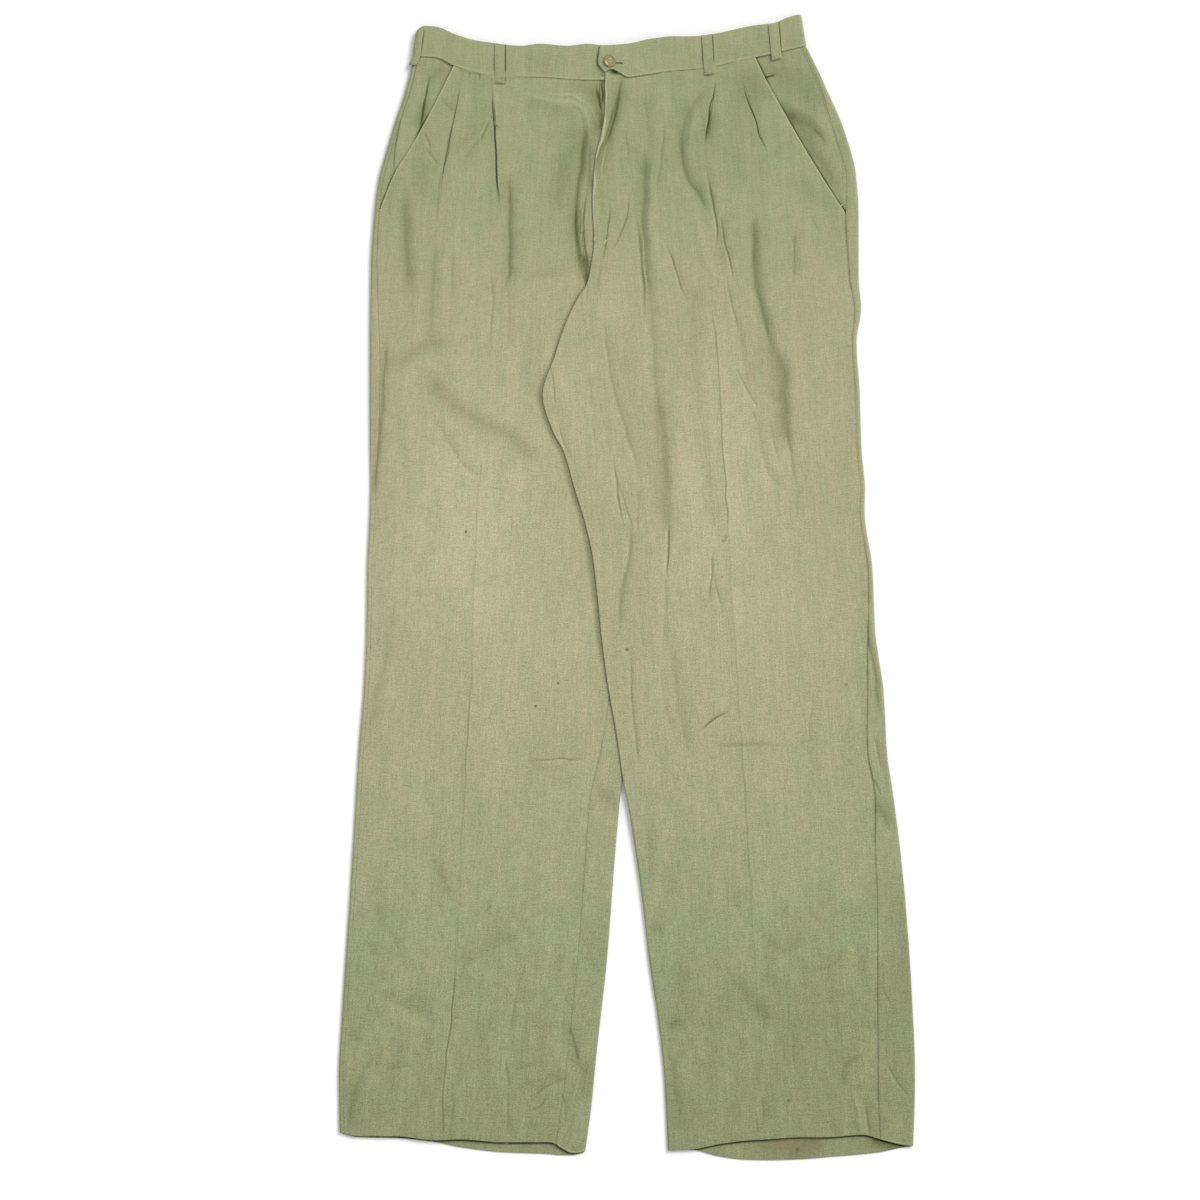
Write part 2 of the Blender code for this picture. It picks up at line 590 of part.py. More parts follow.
def wall(name, rows, thickness, material, fans=()):
    """A closed wall under rows of knots.

    Rows share their first columns.  Where the next row is longer, its further knots are joined to the
    last knot of this one if the row is in fans, and otherwise begin a free edge there.
    thickness is one value for each row.
    """
    shape = bmesh.new()
    outer = [[shape.verts.new((k.x * MM, k.y * MM, k.z * MM)) for k in row] for row in rows]
    inner = [
        [shape.verts.new(((k.x - k.nx * t) * MM, k.y * MM, (k.z - k.nz * t) * MM)) for k in row]
        for row, t in zip(rows, thickness)
    ]
    for skin in (outer, inner):
        for i in range(len(skin) - 1):
            here, below = skin[i], skin[i + 1]
            shared = min(len(here), len(below))
            for j in range(shared - 1):
                shape.faces.new((here[j], here[j + 1], below[j + 1], below[j]))
            if i in fans:
                for j in range(shared - 1, len(below) - 1):
                    shape.faces.new((here[-1], below[j + 1], below[j]))
    twin = {a: b for row_a, row_b in zip(outer, inner) for a, b in zip(row_a, row_b)}
    rim = [edge.verts[:] for edge in shape.edges if len(edge.link_faces) == 1 and edge.verts[0] in twin]
    for a, b in rim:
        shape.faces.new((a, b, twin[b], twin[a]))
    return add_object(name, shape, material)


def panel_thickness():
    return [CLOTH] * (len(ROWS) - 2) + [HEM_CLOTH] * 2


def build_panels(linen):
    count = range(len(ROWS))
    seat_fans = (SEAT_FOLD_ROW, SEAT_FOLD_ROW + 1)
    wall("front_right", [front_right_row(i) for i in count], panel_thickness(), linen)
    wall("front_left", [front_left_row(i) for i in count], panel_thickness(), linen)
    wall("back_right", [back_right_row(i) for i in count], panel_thickness(), linen, seat_fans)
    wall("back_left", [back_left_row(i) for i in count], panel_thickness(), linen, seat_fans)


# ---- pockets ----

def facing_xs(hip, i):
    """Across a row from the side seam to the slant opening, and on under the front."""
    seam = meet(i, side_line(hip), hip.leg)
    edge = meet(i, hip.opening, hip.leg)
    lap = edge - hip.side * FACING_LAP * mix(FACING_LAP_LOW, 1.0, ROWS[i].waist)
    return [seam, mix(seam, edge, 0.5), edge + hip.side * FACING_STEP] + across(edge, lap, (0.33, 0.67, 1.0))


def build_facing(name, hip, linen):
    """The hip piece that shows beyond a slant opening and runs on under the front."""
    rows = []
    for i in FACING_ROWS:
        xs = facing_xs(hip, i)
        edge_x = xs[2]
        edge_top = hip.top(edge_x, row_y(i, edge_x, hip.leg))
        row = []
        for x, drop in zip(xs, FACING_DROPS):
            y = row_y(i, x, hip.leg)
            row.append(Knot(x, y, min(hip.top(x, y), edge_top) - FACING_DROP * drop, 0.0, 1))
        rows.append(row)
    wall(name, rows, [CLOTH] * len(rows), linen)


# A bag's rows; outer and inner are distances in from the outer fold
Bag = namedtuple("Bag", "y waist outer inner")
BAG_OUTLINE = (
    Bag(WAIST_REACH, 0.9, 30, 108), Bag(WAIST_REACH, RISE_TO, 28, 112), Bag(WAIST_REACH, RISE_FROM, 22, 124),
    Bag(WAIST_REACH, 0.3, 12, 138), Bag(WAIST_REACH, 0, 9, 150), Bag(320, 0, 10, 156), Bag(270, 0, 22, 150),
    Bag(248, 0, 50, 118),
)


def drawn_y(y, waist, x):
    return y + waist * (waist_seam_line(x) - GAP - y)


def build_bag(name, hip, pocketing):
    """A flat bag on the inside of the back, from under the waist seam to below the opening."""
    rows = []
    for row in BAG_OUTLINE:
        fold = hip.fold(drawn_y(row.y, row.waist, hip.side * HIP_X))
        xs = across(fold - hip.side * row.outer, fold - hip.side * row.inner, (0, 0.33, 0.67, 1.0))
        knots = []
        for x in xs:
            y = drawn_y(row.y, row.waist, x)
            knots.append(Knot(x, y, hip.floor(x, y) + CLOTH + GAP + BAG, 0.0, 1))
        rows.append(knots)
    wall(name, rows, [BAG] * len(rows), pocketing)


def build_pockets(linen, pocketing):
    build_facing("pocket_facing_right", RIGHT_HIP, linen)
    build_facing("pocket_facing_left", LEFT_HIP, linen)
    build_bag("pocket_bag_right", RIGHT_HIP, pocketing)
    build_bag("pocket_bag_left", LEFT_HIP, pocketing)


# ---- fly ----

FlyLevel = namedtuple("FlyLevel", "y waist")
FLY_LEVELS = (
    FlyLevel(WAIST_REACH, 0.95), FlyLevel(WAIST_REACH, RISE_TO), FlyLevel(WAIST_REACH, RISE_FROM),
    FlyLevel(WAIST_REACH, 0.32), FlyLevel(WAIST_REACH, 0), FlyLevel(345, 0), FlyLevel(326, 0),
)


def build_fly(linen, tape, metal):
    """The shield on the inside of the back, the zip on it, and the slider at the zip's top."""
    shield = []
    zipper = []
    for level in FLY_LEVELS:
        edge = left_fold(max(drawn_y(level.y, level.waist, OVERLAP_END), ZIP_END))
        width = mix(SHIELD_FOOT, SHIELD_WIDTH, smooth((level.y - SHIELD_FOOT_Y) / SHIELD_TAPER))
        start = edge + SHIELD_INSET
        row = []
        for x in across(start, start + width, (0, 0.5, 1)):
            y = drawn_y(level.y, level.waist, x)
            row.append(Knot(x, y, right_floor(x, y) + SHIELD_TOP, 0.0, 1))
        shield.append(row)
        if level.y < ZIP_END:
            continue
        row = []
        for dx, raised in zip(ZIP_COLUMNS, ZIP_RAISED):
            y = drawn_y(level.y, level.waist, edge + dx)
            row.append(Knot(edge + dx, y, right_floor(edge + dx, y) + ZIP_TOP + raised, 0.0, 1))
        zipper.append(row)
    wall("fly_shield", shield, [BAG] * len(shield), linen)
    wall("zip", zipper, [BAG] * len(zipper), tape)
    build_slider(metal)


def outline_prism(outline, z_low, z_high):
    """A straight-sided block over an outline of (x, y) points."""
    shape = bmesh.new()
    low = [shape.verts.new((x * MM, y * MM, z_low * MM)) for x, y in outline]
    face = shape.faces.new(low)
    grown = bmesh.ops.extrude_face_region(shape, geom=[face])
    moved = [item for item in grown["geom"] if isinstance(item, bmesh.types.BMVert)]
    bmesh.ops.translate(shape, verts=moved, vec=(0, 0, (z_high - z_low) * MM))
    return shape


def build_slider(metal):
    """A wedge body on the teeth with its pull tab lying flat below it."""
    x = left_fold(SLIDER_Y) + ZIP_MIDDLE
    z = BACK_RISE + ZIP_TOP + max(ZIP_RAISED) + GAP
    left = [(x - half, SLIDER_Y + along) for half, along in SLIDER_OUTLINE]
    right = [(x + half, SLIDER_Y + along) for half, along in reversed(SLIDER_OUTLINE)]
    add_object("zip_slider", outline_prism(left + right, z, z + SLIDER_THICKNESS), metal)


# ---- waistband ----

# A place round the band: x at the seam and at the top edge, height, the way out, and 1 on the back
Station = namedtuple("Station", "x_low x_high z nx nz under")


def overlap_lift(x):
    return OVERLAP_LIFT * (1 - smooth((x - LIFT_END) / LIFT_RUN))


def band_path(side):
    """Stations round one half of the band, over the panels' own knots at the waist seam.

    They run from the free end in front to the side fold, round it, and back to the centre back.
    """
    if side == -1:
        front, back, hip, end = front_right_row(0), back_right_row(0), RIGHT_HIP, UNDERLAP_END
        tops = [end, 0.0] + [knot.x for knot in reversed(front)]
    else:
        front, back, hip, end = front_left_row(0), back_left_row(0), LEFT_HIP, OVERLAP_END - CORNER_LEAN
        tops = [end] + [knot.x for knot in reversed(front) if knot.nz > 0.1]
    tops += [facing_xs(hip, 0)[1], facing_xs(hip, 0)[0]]
    start = tops[-1] + side * BAND_FOLD_ROOM
    tops.append(start)
    radius = (BAND_TOP - BACK_RISE) / 2
    middle = (BAND_TOP + BACK_RISE) / 2
    end_lean = 0.0 if side == -1 else CORNER_LEAN

    def lean(x, free_end, at_end):
        return mix(at_end, FOLD_LEAN[side], min(max((x - free_end) / (start - free_end), 0.0), 1.0))

    path = []
    for x in tops:
        lift = overlap_lift(x) if side == 1 else 0.0
        path.append(Station(x, x + lean(x, end, end_lean), BAND_TOP + lift, 0.0, 1.0, 0.0))
    for n in range(1, FOLD_STEPS):
        angle = math.pi / 2 - math.pi * n / FOLD_STEPS
        x = start + side * radius * math.cos(angle)
        z = middle + radius * math.sin(angle)
        path.append(Station(x, x + FOLD_LEAN[side], z, side * math.cos(angle), math.sin(angle),
                            (1 - math.sin(angle)) / 2))
    for knot in back:
        if knot.nz == -1.0:
            x = start if knot.x == back[0].x else knot.x
            path.append(Station(x, x + lean(x, CENTRE_BACK, 0.0), BACK_RISE, 0.0, -1.0, 1.0))
    return path


def band_point(station, share, side):
    """(x, y) on the band at a share of its height over the seam."""
    corner = 1.0 if side == 1 and station.under == 0.0 else 0.0
    low = waist_seam(station.x_low, corner) + 2 * GAP * corner
    high = waist_top(station.x_high) - BACK_SHORT * station.under
    return mix(station.x_low, station.x_high, share), mix(low, high, share)


def band_rows(side):
    rows = []
    for station in band_path(side):
        row = []
        for share in BAND_SHARES:
            x, y = band_point(station, share, side)
            row.append(Knot(x, y, station.z, station.nx, station.nz))
        rows.append(row)
    return rows


def build_waistband(linen):
    right = band_rows(-1)
    wall("waistband_right", right, [BAND] * len(right), linen)
    left = band_rows(1)
    band = wall("waistband_left", left, [BAND] * len(left), linen)
    cut_buttonhole(band)


# ---- belt loops ----

Loop = namedtuple("Loop", "name side x lean tail")     # lean: how far its foot lies beside its top
FRONT_LOOPS = (
    Loop("belt_loop_front_2", -1, -127, 0.0, 5.5),
    Loop("belt_loop_front_3", 1, 80, 0.0, 5.0),
    Loop("belt_loop_front_4", 1, 147.5, 5.5, 7.0),
)
BACK_LOOPS = (
    Loop("belt_loop_back_1", -1, -105, 0.0, 6.0),
    Loop("belt_loop_back_2", 1, -3, 0.0, 6.0),
    Loop("belt_loop_back_3", 1, 100, 0.0, 6.0),
)


def build_front_loop(loop, linen):
    """A strip over the band from just under its top edge to a short tail on the front."""
    band_z = BAND_TOP + (overlap_lift(loop.x) if loop.side == 1 else 0.0)
    corner = 1.0 if loop.side == 1 else 0.0
    rows = []
    for level, rise in zip(LOOP_LEVELS, LOOP_RISE):
        row = []
        for shift in (-0.5, 0.0, 0.5):
            x = loop.x + shift * LOOP_WIDTH + loop.lean * (0.5 - level)
            seam = waist_seam(x, corner)
            if level < 0:
                y = seam + level * loop.tail
            else:
                y = mix(seam, waist_top(x), level)
            z = band_z + GAP + LOOP_CLOTH + rise * LOOP_ARCH
            row.append(Knot(x, y, z, 0.0, 1))
        rows.append(row)
    wall(loop.name, rows, [LOOP_CLOTH] * len(rows), linen)


def build_back_loop(loop, linen):
    """A strip under the back of the band, flat on the surface."""
    rows = []
    for level in BACK_LOOP_LEVELS:
        row = []
        for shift in (-0.5, 0.5):
            x = loop.x + shift * LOOP_WIDTH
            seam = waist_seam(x, 0.0)
            y = seam + level * loop.tail if level < 0 else mix(seam, waist_top(x), level)
            row.append(Knot(x, y, BACK_RISE - GAP - LOOP_CLOTH, 0.0, -1))
        rows.append(row)
    wall(loop.name, rows, [LOOP_CLOTH] * len(rows), linen)


def build_side_loop(linen):
    """The loop at the right side fold, half on the front and half turned under with the band."""
    path = band_path(-1)
    fold_first = next(n for n, s in enumerate(path) if s.under > 0)
    stations = path[fold_first - 1:fold_first + FOLD_STEPS - 2]
    near = stations[0]
    front = near._replace(x_low=near.x_low + SIDE_LOOP_FRONT, x_high=near.x_high + SIDE_LOOP_FRONT)
    stations = [front] + stations
    rows = []
    for level in SIDE_LOOP_LEVELS:
        row = []
        for s in stations:
            x, y = band_point(s, level, -1)
            out = GAP + LOOP_CLOTH
            spread = SIDE_LOOP_SPREAD * max(0.06 - level, 0.0)
            row.append(Knot(x + s.nx * out - spread, y, s.z + s.nz * out, s.nx, s.nz))
        rows.append(row)
    wall("belt_loop_front_1", rows, [LOOP_CLOTH] * len(rows), linen)


# ---- button ----

def cylinder(radius, z_low, z_high, x, y, segments):
    shape = bmesh.new()
    place = Matrix.Translation((x * MM, y * MM, (z_low + z_high) / 2 * MM))
    bmesh.ops.create_cone(shape, cap_ends=True, segments=segments, radius1=radius * MM, radius2=radius * MM,
                          depth=(z_high - z_low) * MM, matrix=place)
    return shape


def helper(name, shape):
    """An object that only cuts or joins, hidden from renders."""
    obj = add_object(name, shape, fabric(name, (0.8, 0.2, 0.2), 0.5))
    obj.hide_render = True
    obj.display_type = "WIRE"
    return obj


def boolean(obj, other, operation):
    modifier = obj.modifiers.new(other.name, "BOOLEAN")
    modifier.operation = operation
    modifier.object = other


def cut_buttonhole(band):
    """A slot from under the button to beside it."""
    x_low = BUTTON_X - SLOT_WIDTH
    half = SLOT_WIDTH / 2
    outline = []
    for centre, start in ((x_low + SLOT_LENGTH - half, -90), (x_low + half, 90)):
        for k in range(5):
            angle = math.radians(start + 45 * k)
            outline.append((centre + half * math.cos(angle), BUTTON_Y + half * math.sin(angle)))
    cutter = helper("buttonhole_cutter", outline_prism(outline, *SLOT_CUT))
    boolean(band, cutter, "DIFFERENCE")


def hole_places():
    for dx in (-1, 1):
        for dy in (-1, 1):
            yield BUTTON_X + dx * HOLE_SPACING, BUTTON_Y + dy * HOLE_SPACING


def build_button(horn, thread):
    """A turned disc with a raised rim and four holes, and the thread through them."""
    shape = bmesh.new()
    points = []
    for radius, height in BUTTON_PROFILE:
        place = (radius * BUTTON_DIAMETER / 2 * MM, 0, (BUTTON_BOTTOM + height * BUTTON_HEIGHT) * MM)
        points.append(shape.verts.new(place))
    edges = [shape.edges.new(pair) for pair in zip(points, points[1:])]
    bmesh.ops.spin(shape, geom=points + edges, cent=(0, 0, 0), axis=(0, 0, 1), angle=2 * math.pi,
                   steps=BUTTON_STEPS, use_merge=True, use_duplicate=False)
    bmesh.ops.remove_doubles(shape, verts=shape.verts, dist=1e-6)
    bmesh.ops.translate(shape, verts=shape.verts, vec=(BUTTON_X * MM, BUTTON_Y * MM, 0))
    button = add_object("waist_button", shape, horn)
    top = BUTTON_BOTTOM + BUTTON_HEIGHT
    for n, (x, y) in enumerate(hole_places()):
        hole = cylinder(HOLE_RADIUS, BUTTON_BOTTOM - HOLE_OVERCUT, top + HOLE_OVERCUT, x, y, 10)
        boolean(button, helper(f"hole_cutter_{n + 1}", hole), "DIFFERENCE")
    build_thread(thread)


def build_thread(thread):
    """Four strands up through the holes, two bars across the top, and the shank down to the underlap."""
    bar_low = BUTTON_BOTTOM + BUTTON_PROFILE[-1][1] * BUTTON_HEIGHT + GAP
    bar_top = bar_low + BAR_HEIGHT
    plate_top = BUTTON_BOTTOM
    shank = cylinder(SHANK_RADIUS, BAND_TOP + GAP, plate_top - PLATE_HEIGHT / 4, BUTTON_X, BUTTON_Y, 12)
    body = add_object("button_thread", shank, thread)
    plate = cylinder(PLATE_RADIUS, plate_top - PLATE_HEIGHT, plate_top, BUTTON_X, BUTTON_Y, 16)
    boolean(body, helper("thread_plate", plate), "UNION")
    for n, (x, y) in enumerate(hole_places()):
        strand = cylinder(THREAD_RADIUS, plate_top - PLATE_HEIGHT / 2, bar_top - BAR_HEIGHT / 3, x, y, 8)
        boolean(body, helper(f"thread_strand_{n + 1}", strand), "UNION")
    half_length = HOLE_SPACING + THREAD_RADIUS * 0.8
    half_width = BAR_WIDTH / 2
    corners = ((-1, -1), (1, -1), (1, 1), (-1, 1))
    for n, side in enumerate((-1, 1)):
        y = BUTTON_Y + side * HOLE_SPACING
        outline = [(BUTTON_X + dx * half_length, y + dy * half_width) for dx, dy in corners]
        bar = helper(f"thread_bar_{n + 1}", outline_prism(outline, bar_low, bar_top))
        boolean(body, bar, "UNION")


def main():
    for obj in list(bpy.data.objects):
        bpy.data.objects.remove(obj)
    linen = fabric("sage_linen", (0.352, 0.381, 0.205), 0.9)
    pocketing = fabric("pocketing", (0.62, 0.6, 0.5), 0.9)
    tape = fabric("zip_tape", (0.25, 0.28, 0.15), 0.8)
    metal = fabric("antique_brass", (0.45, 0.36, 0.2), 0.35, 1.0)
    horn = fabric("horn_button", (0.5, 0.38, 0.22), 0.35)
    thread = fabric("sewing_thread", (0.5, 0.46, 0.28), 0.7)
    build_panels(linen)
    build_pockets(linen, pocketing)
    build_fly(linen, tape, metal)
    build_waistband(linen)
    for loop in FRONT_LOOPS:
        build_front_loop(loop, linen)
    for loop in BACK_LOOPS:
        build_back_loop(loop, linen)
    build_side_loop(linen)
    build_button(horn, thread)


main()
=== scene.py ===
"""Sage linen trousers with double pleats, lying flat on their back with the left leg over the right.

Tables and sizes are in millimetres and MM turns them into metres where meshes are made.  +X is the
wearer's left, +Y runs from the hems up to the waist and +Z is up from the surface they lie on.
Left and right are the wearer's.  Every cloth piece is a thin closed shell over a grid of points.
"""

import math
from collections import namedtuple

import bmesh
import bpy
import numpy as np
from mathutils import Matrix, Vector


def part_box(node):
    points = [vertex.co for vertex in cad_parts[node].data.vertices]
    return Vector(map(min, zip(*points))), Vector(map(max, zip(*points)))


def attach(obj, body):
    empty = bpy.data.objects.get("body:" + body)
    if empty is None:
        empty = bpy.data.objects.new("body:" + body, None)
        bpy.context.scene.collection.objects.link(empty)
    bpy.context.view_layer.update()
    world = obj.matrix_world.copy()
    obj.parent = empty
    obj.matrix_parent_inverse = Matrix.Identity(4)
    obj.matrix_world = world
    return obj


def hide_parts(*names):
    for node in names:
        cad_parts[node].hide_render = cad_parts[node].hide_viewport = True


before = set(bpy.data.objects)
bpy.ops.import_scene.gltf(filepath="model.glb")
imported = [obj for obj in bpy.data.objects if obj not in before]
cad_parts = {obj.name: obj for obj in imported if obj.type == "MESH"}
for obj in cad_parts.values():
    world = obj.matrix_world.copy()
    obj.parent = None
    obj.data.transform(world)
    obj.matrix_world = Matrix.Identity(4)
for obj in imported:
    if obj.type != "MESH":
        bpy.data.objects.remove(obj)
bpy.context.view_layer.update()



def table(kind, *rows):
    """Rows of plain values, with their columns named."""
    return tuple(kind(*row) for row in rows)


MM = 0.001
KEY_FROM = Vector((0.62, 0.56, 0.85))     # direction the key light comes from

# ---- sizes, mm ----
CLOTH = 0.5            # one ply of linen
HEM_CLOTH = 1.6        # turned-up hem
HEM_DEPTH = 38.0       # how far up it is turned
BAND = 1.6             # waistband with its interlining
LOOP_CLOTH = 1.1
ROW_GRID = 3.4         # spacing of the panels' points along the leg,
FRONT_GRID = 1.8       # across a front
BACK_GRID = 2.8        # and across a back
GAP = 0.3              # between pieces at a seam,
CLOSE_GAP = 0.08       # and at a side seam
LIE = 0.4              # between layers that lie on each other
TURN_UNDER = 6.0       # cloth folded under at the fly edge and the left leg's inner fold
FLY_ROOM = 1.9         # top of the fly edge over its turned ply
FOLD_ROOM = 2.0        # the same at the left leg's inner fold
BACK_RISE = 1.5        # the back lies this high at the waist, over its belt loops
REACH = 50.0           # the left leg settles over this distance beside the right leg
RAMP = 28.0            # its lower layer does so sooner
FACING_DROP = 1.6      # a pocket facing lies this far below the front
FACING_LAP = 26.0
BAND_TOP = 7.6         # top of the waistband's front over the surface
OVERLAP_LIFT = 3.0     # its overlap lies this much higher, on the underlap
OVERLAP_END = -27.0
UNDERLAP_END = 13.0
CENTRE_BACK = -18.0
CORNER_LIFT = 6.0      # the overlap's lower corner is rounded up by this
CORNER_RUN = 16.0
FOLD_LEAN = {-1: 3.5, 1: -5.0}
LOOP_WIDTH = 10.0
LOOP_ARCH = 0.75
POCKET_END = 375.0
CROTCH_Y = 192.5
SEAT_FOLD_Y = 242.5
SEAT_FOLD_DROP = 1.6
SEAT_LIFT_SHARE = 0.7
SEAT_LIFT_RUN = 60.0
WAIST_REACH = 380.0    # rows above this are drawn towards the waist seam
HEM_REACH = -475.0     # and rows below this towards the hem
WRAP_END = 217.5       # the legs' inner folds are fully formed below this
EDGE_ROOM = 3.0
EDGE_SHARE = 1 / 9
INSEAM_ROOM = 5.0
FRONT_LAP = 8.0
PUFF_POWER = 0.8
OVER_FLAT = 0.5
TURN_LEVEL_FROM = 478.0
TURN_LEVEL_RUN = 24.0
BUTTON_X = -17.0
BUTTON_Y = 526.3
BUTTON_DIAMETER = 12.4
BUTTON_HEIGHT = 2.6
BUTTON_BOTTOM = BAND_TOP + OVERLAP_LIFT + 0.6

# Waistband: its top edge and the waist seam under it, along x
Waist = namedtuple("Waist", "x top seam")
WAIST = table(
    Waist, (-215, 554.5, 529), (-210, 557, 529.5), (-203, 561.5, 530), (-190, 560.5, 529),
    (-173, 553.5, 521), (-154, 547.5, 514.5), (-135, 544.5, 511.5), (-106, 541.5, 510),
    (-87, 543.5, 509.5), (-60, 541.5, 507.5), (-39, 543.5, 506.5), (-24, 542, 506.5), (1, 543.5, 509),
    (24, 548.5, 512.5), (47, 551, 515.8), (64, 551, 517), (87, 553.5, 520), (106, 557.5, 524.5),
    (125, 561.5, 528.5), (148, 564.5, 533.5), (161, 570, 536.5), (172, 572.5, 539), (180, 572.5, 541),
)
# Hems: the edge of the upper layer and of the lower one, along x
Hem = namedtuple("Hem", "x upper lower")
RIGHT_HEM = table(
    Hem, (-288, -544.5, -545), (-269, -548.5, -549.5), (-231, -548.5, -550.5), (-192, -552.5, -554.5),
    (-167, -551.5, -559.5), (-125, -554.5, -564.5), (-77, -554.5, -566.5), (-68, -559, -567.5),
    (-55, -565.5, -567.5), (-40, -563.5, -564),
)
LEFT_HEM = table(
    Hem, (41, -563, -562), (66, -561.5, -562.5), (91, -556.5, -568.5), (118, -553, -572),
    (141, -551.5, -572.5), (173, -549.5, -571.5), (200, -549.5, -569.5), (236, -547, -566.5),
    (253, -551.5, -564.5), (272, -556.5, -560.5), (286, -558.5, -558.5),
)
# Outer fold of each leg, and how far in from it the side seam lies on top
Side = namedtuple("Side", "y fold inset")
RIGHT_SIDE = table(
    Side, (545, -212, 4.5), (527, -214, 4.5), (497, -221, 4.5), (467, -231, 4.5), (437, -240, 4.5),
    (407, -248, 4.5), (377, -252, 4.5), (317, -256, 6), (224, -257, 10), (158, -257, 9),
    (95, -256.5, 5), (20, -259.5, 4.5), (-42, -260.5, 4.5), (-102, -263, 4.5), (-162, -268, 4.5),
    (-222, -271.5, 4.5), (-312, -277, 4.5), (-432, -285, 4.5), (-492, -288, 4.5), (-560, -287, 4.5),
)
LEFT_SIDE = table(
    Side, (541, 179, 4.5), (527, 186, 4.5), (497, 200, 6), (457, 217, 11), (411, 229, 10),
    (371, 231.5, 13), (310, 231.5, 9), (279, 234, 6.5), (245, 229.5, 4.5), (197, 232.5, 4.5),
    (137, 234.5, 4.5), (98, 238, 4.5), (78, 237.5, 4.5), (17, 245.5, 4.5), (-42, 248, 7),
    (-68, 251.5, 11), (-102, 256.5, 16), (-165, 260, 19.5), (-200, 265, 18), (-252, 272, 24),
    (-322, 279, 29), (-402, 284.5, 34.5), (-490, 288, 37.5), (-560, 286, 33),
)
# Inner edge of the right front: under the fly, down the front rise to the crotch, then the inseam
Line = namedtuple("Line", "y x")
RIGHT_INNER = table(
    Line, (515, -13), (480, -13), (430, -22), (388, -26), (337, -27), (304, -33), (288, -43),
    (260, -59), (231, -69.5), (CROTCH_Y, -81), (158, -66), (135, -53), (97, -40), (65, -31), (28, -23),
    (-12, -18), (-54, -15), (-102, -17), (-166, -27), (-212, -37), (-284, -42.5), (-352, -48),
    (-436, -56), (-506, -64), (-562, -72),
)
# Inner fold of the left leg: the fly edge, then the fold that lies over the right leg
LEFT_FOLD = table(
    Line, (520, -22), (480, -22), (453, -26), (430, -31.5), (388, -34.5), (348, -33), (319, -36.5),
    (304, -40), (288, -50), (260, -63), (231, -72.5), (CROTCH_Y, -84.5), (158, -75), (135, -63),
    (97, -52), (65, -42), (28, -34), (-54, -25), (-92, -20), (-150, -10), (-190, -4.3), (-222, 2),
    (-312, 15), (-372, 22), (-432, 31), (-492, 37.5), (-565, 41),
)
# Centre-back seam down to the seat fold, then the right leg's inner fold, hidden under the left leg
UNDER_EDGE = table(
    Line, (545, -18), (515, -18), (440, -12), (380, -4), (320, 14), (276, 40), (SEAT_FOLD_Y, 62),
    (CROTCH_Y, 60), (158, 53), (117, 42), (67, 29), (7, 18), (-52, 10.5), (-112, 3.5), (-190, -4.5),
    (-222, -8), (-282, -13), (-372, -20), (-462, -30), (-522, -36), (-565, -42),
)
RIGHT_OPENING = table(
    Line, (524, -172), (470.5, -199), (436.5, -218), (416.5, -231), (POCKET_END, -248),
)
LEFT_OPENING = table(
    Line, (532, 127), (511, 137), (476.5, 156), (436.5, 179), (383.5, 212), (POCKET_END, 218),
)
# Pleat fold lines, and the pressed creases that run on from them to the hems
Pleats = namedtuple("Pleats", "y right_outer right_inner left_inner left_outer")
PLEATS = table(
    Pleats, (515, -164, -135.3, 89, 112.5), (480, -169.7, -133.2, 83.7, 123.3),
    (450, -176, -130.9, 77.8, 133.5), (415, -183, -129.5, 80, 145), (357, -190, -128.5, 89, 149),
    (273, -196, -133, 86, 153), (118, -203, -147, 97.5, 162), (2, -206, -153, 104.5, 170),
    (-82, -209, -155, 110, 176), (-175, -213, -161, 116, 182), (-400, -225, -172, 130, 196),
    (-490, -232, -183, 137, 203), (-565, -235, -183, 142, 207),
)
# A pleat's folded edge: its height, the stitched length under the waist seam, where it dies out,
# and the shade painted in its groove
Pleat = namedtuple("Pleat", "line height stitched bottom fade tone")
PLEAT_EDGES = {
    "right": table(Pleat, ("right_outer", 1.1, 26, 352, 100, 0.1), ("right_inner", 2.1, 25, 372, 45, 0.4)),
    "left": table(Pleat, ("left_outer", 1.8, 27, 424, 30, 0.4), ("left_inner", 2.2, 20, 425, 40, 0.4)),
}
# Across a pleat's edge, from the lower cloth to the upper: distance out, and share of the height
Lip = namedtuple("Lip", "out high")
LIP = table(
    Lip, (2.4, 0.0), (0.9, 0.0), (-0.4, 0.04), (-0.6, 0.22), (-0.1, 0.42), (0.55, 0.6), (0.55, 0.84),
    (0.0, 0.98), (-1.6, 1.0),
)
# Top of the upper layer where nothing lifts it
Level = namedtuple("Level", "y top puff")
LEVELS = table(
    Level, (545, 7.0, 0.0), (505, 6.8, 0.3), (480, 6.6, 1.3), (380, 6.0, 2.4), (300, 5.3, 2.4),
    (CROTCH_Y, 4.5, 2.4), (-190, 4.5, 1.9), (-480, 4.5, 1.6), (-565, 4.5, 1.2),
)
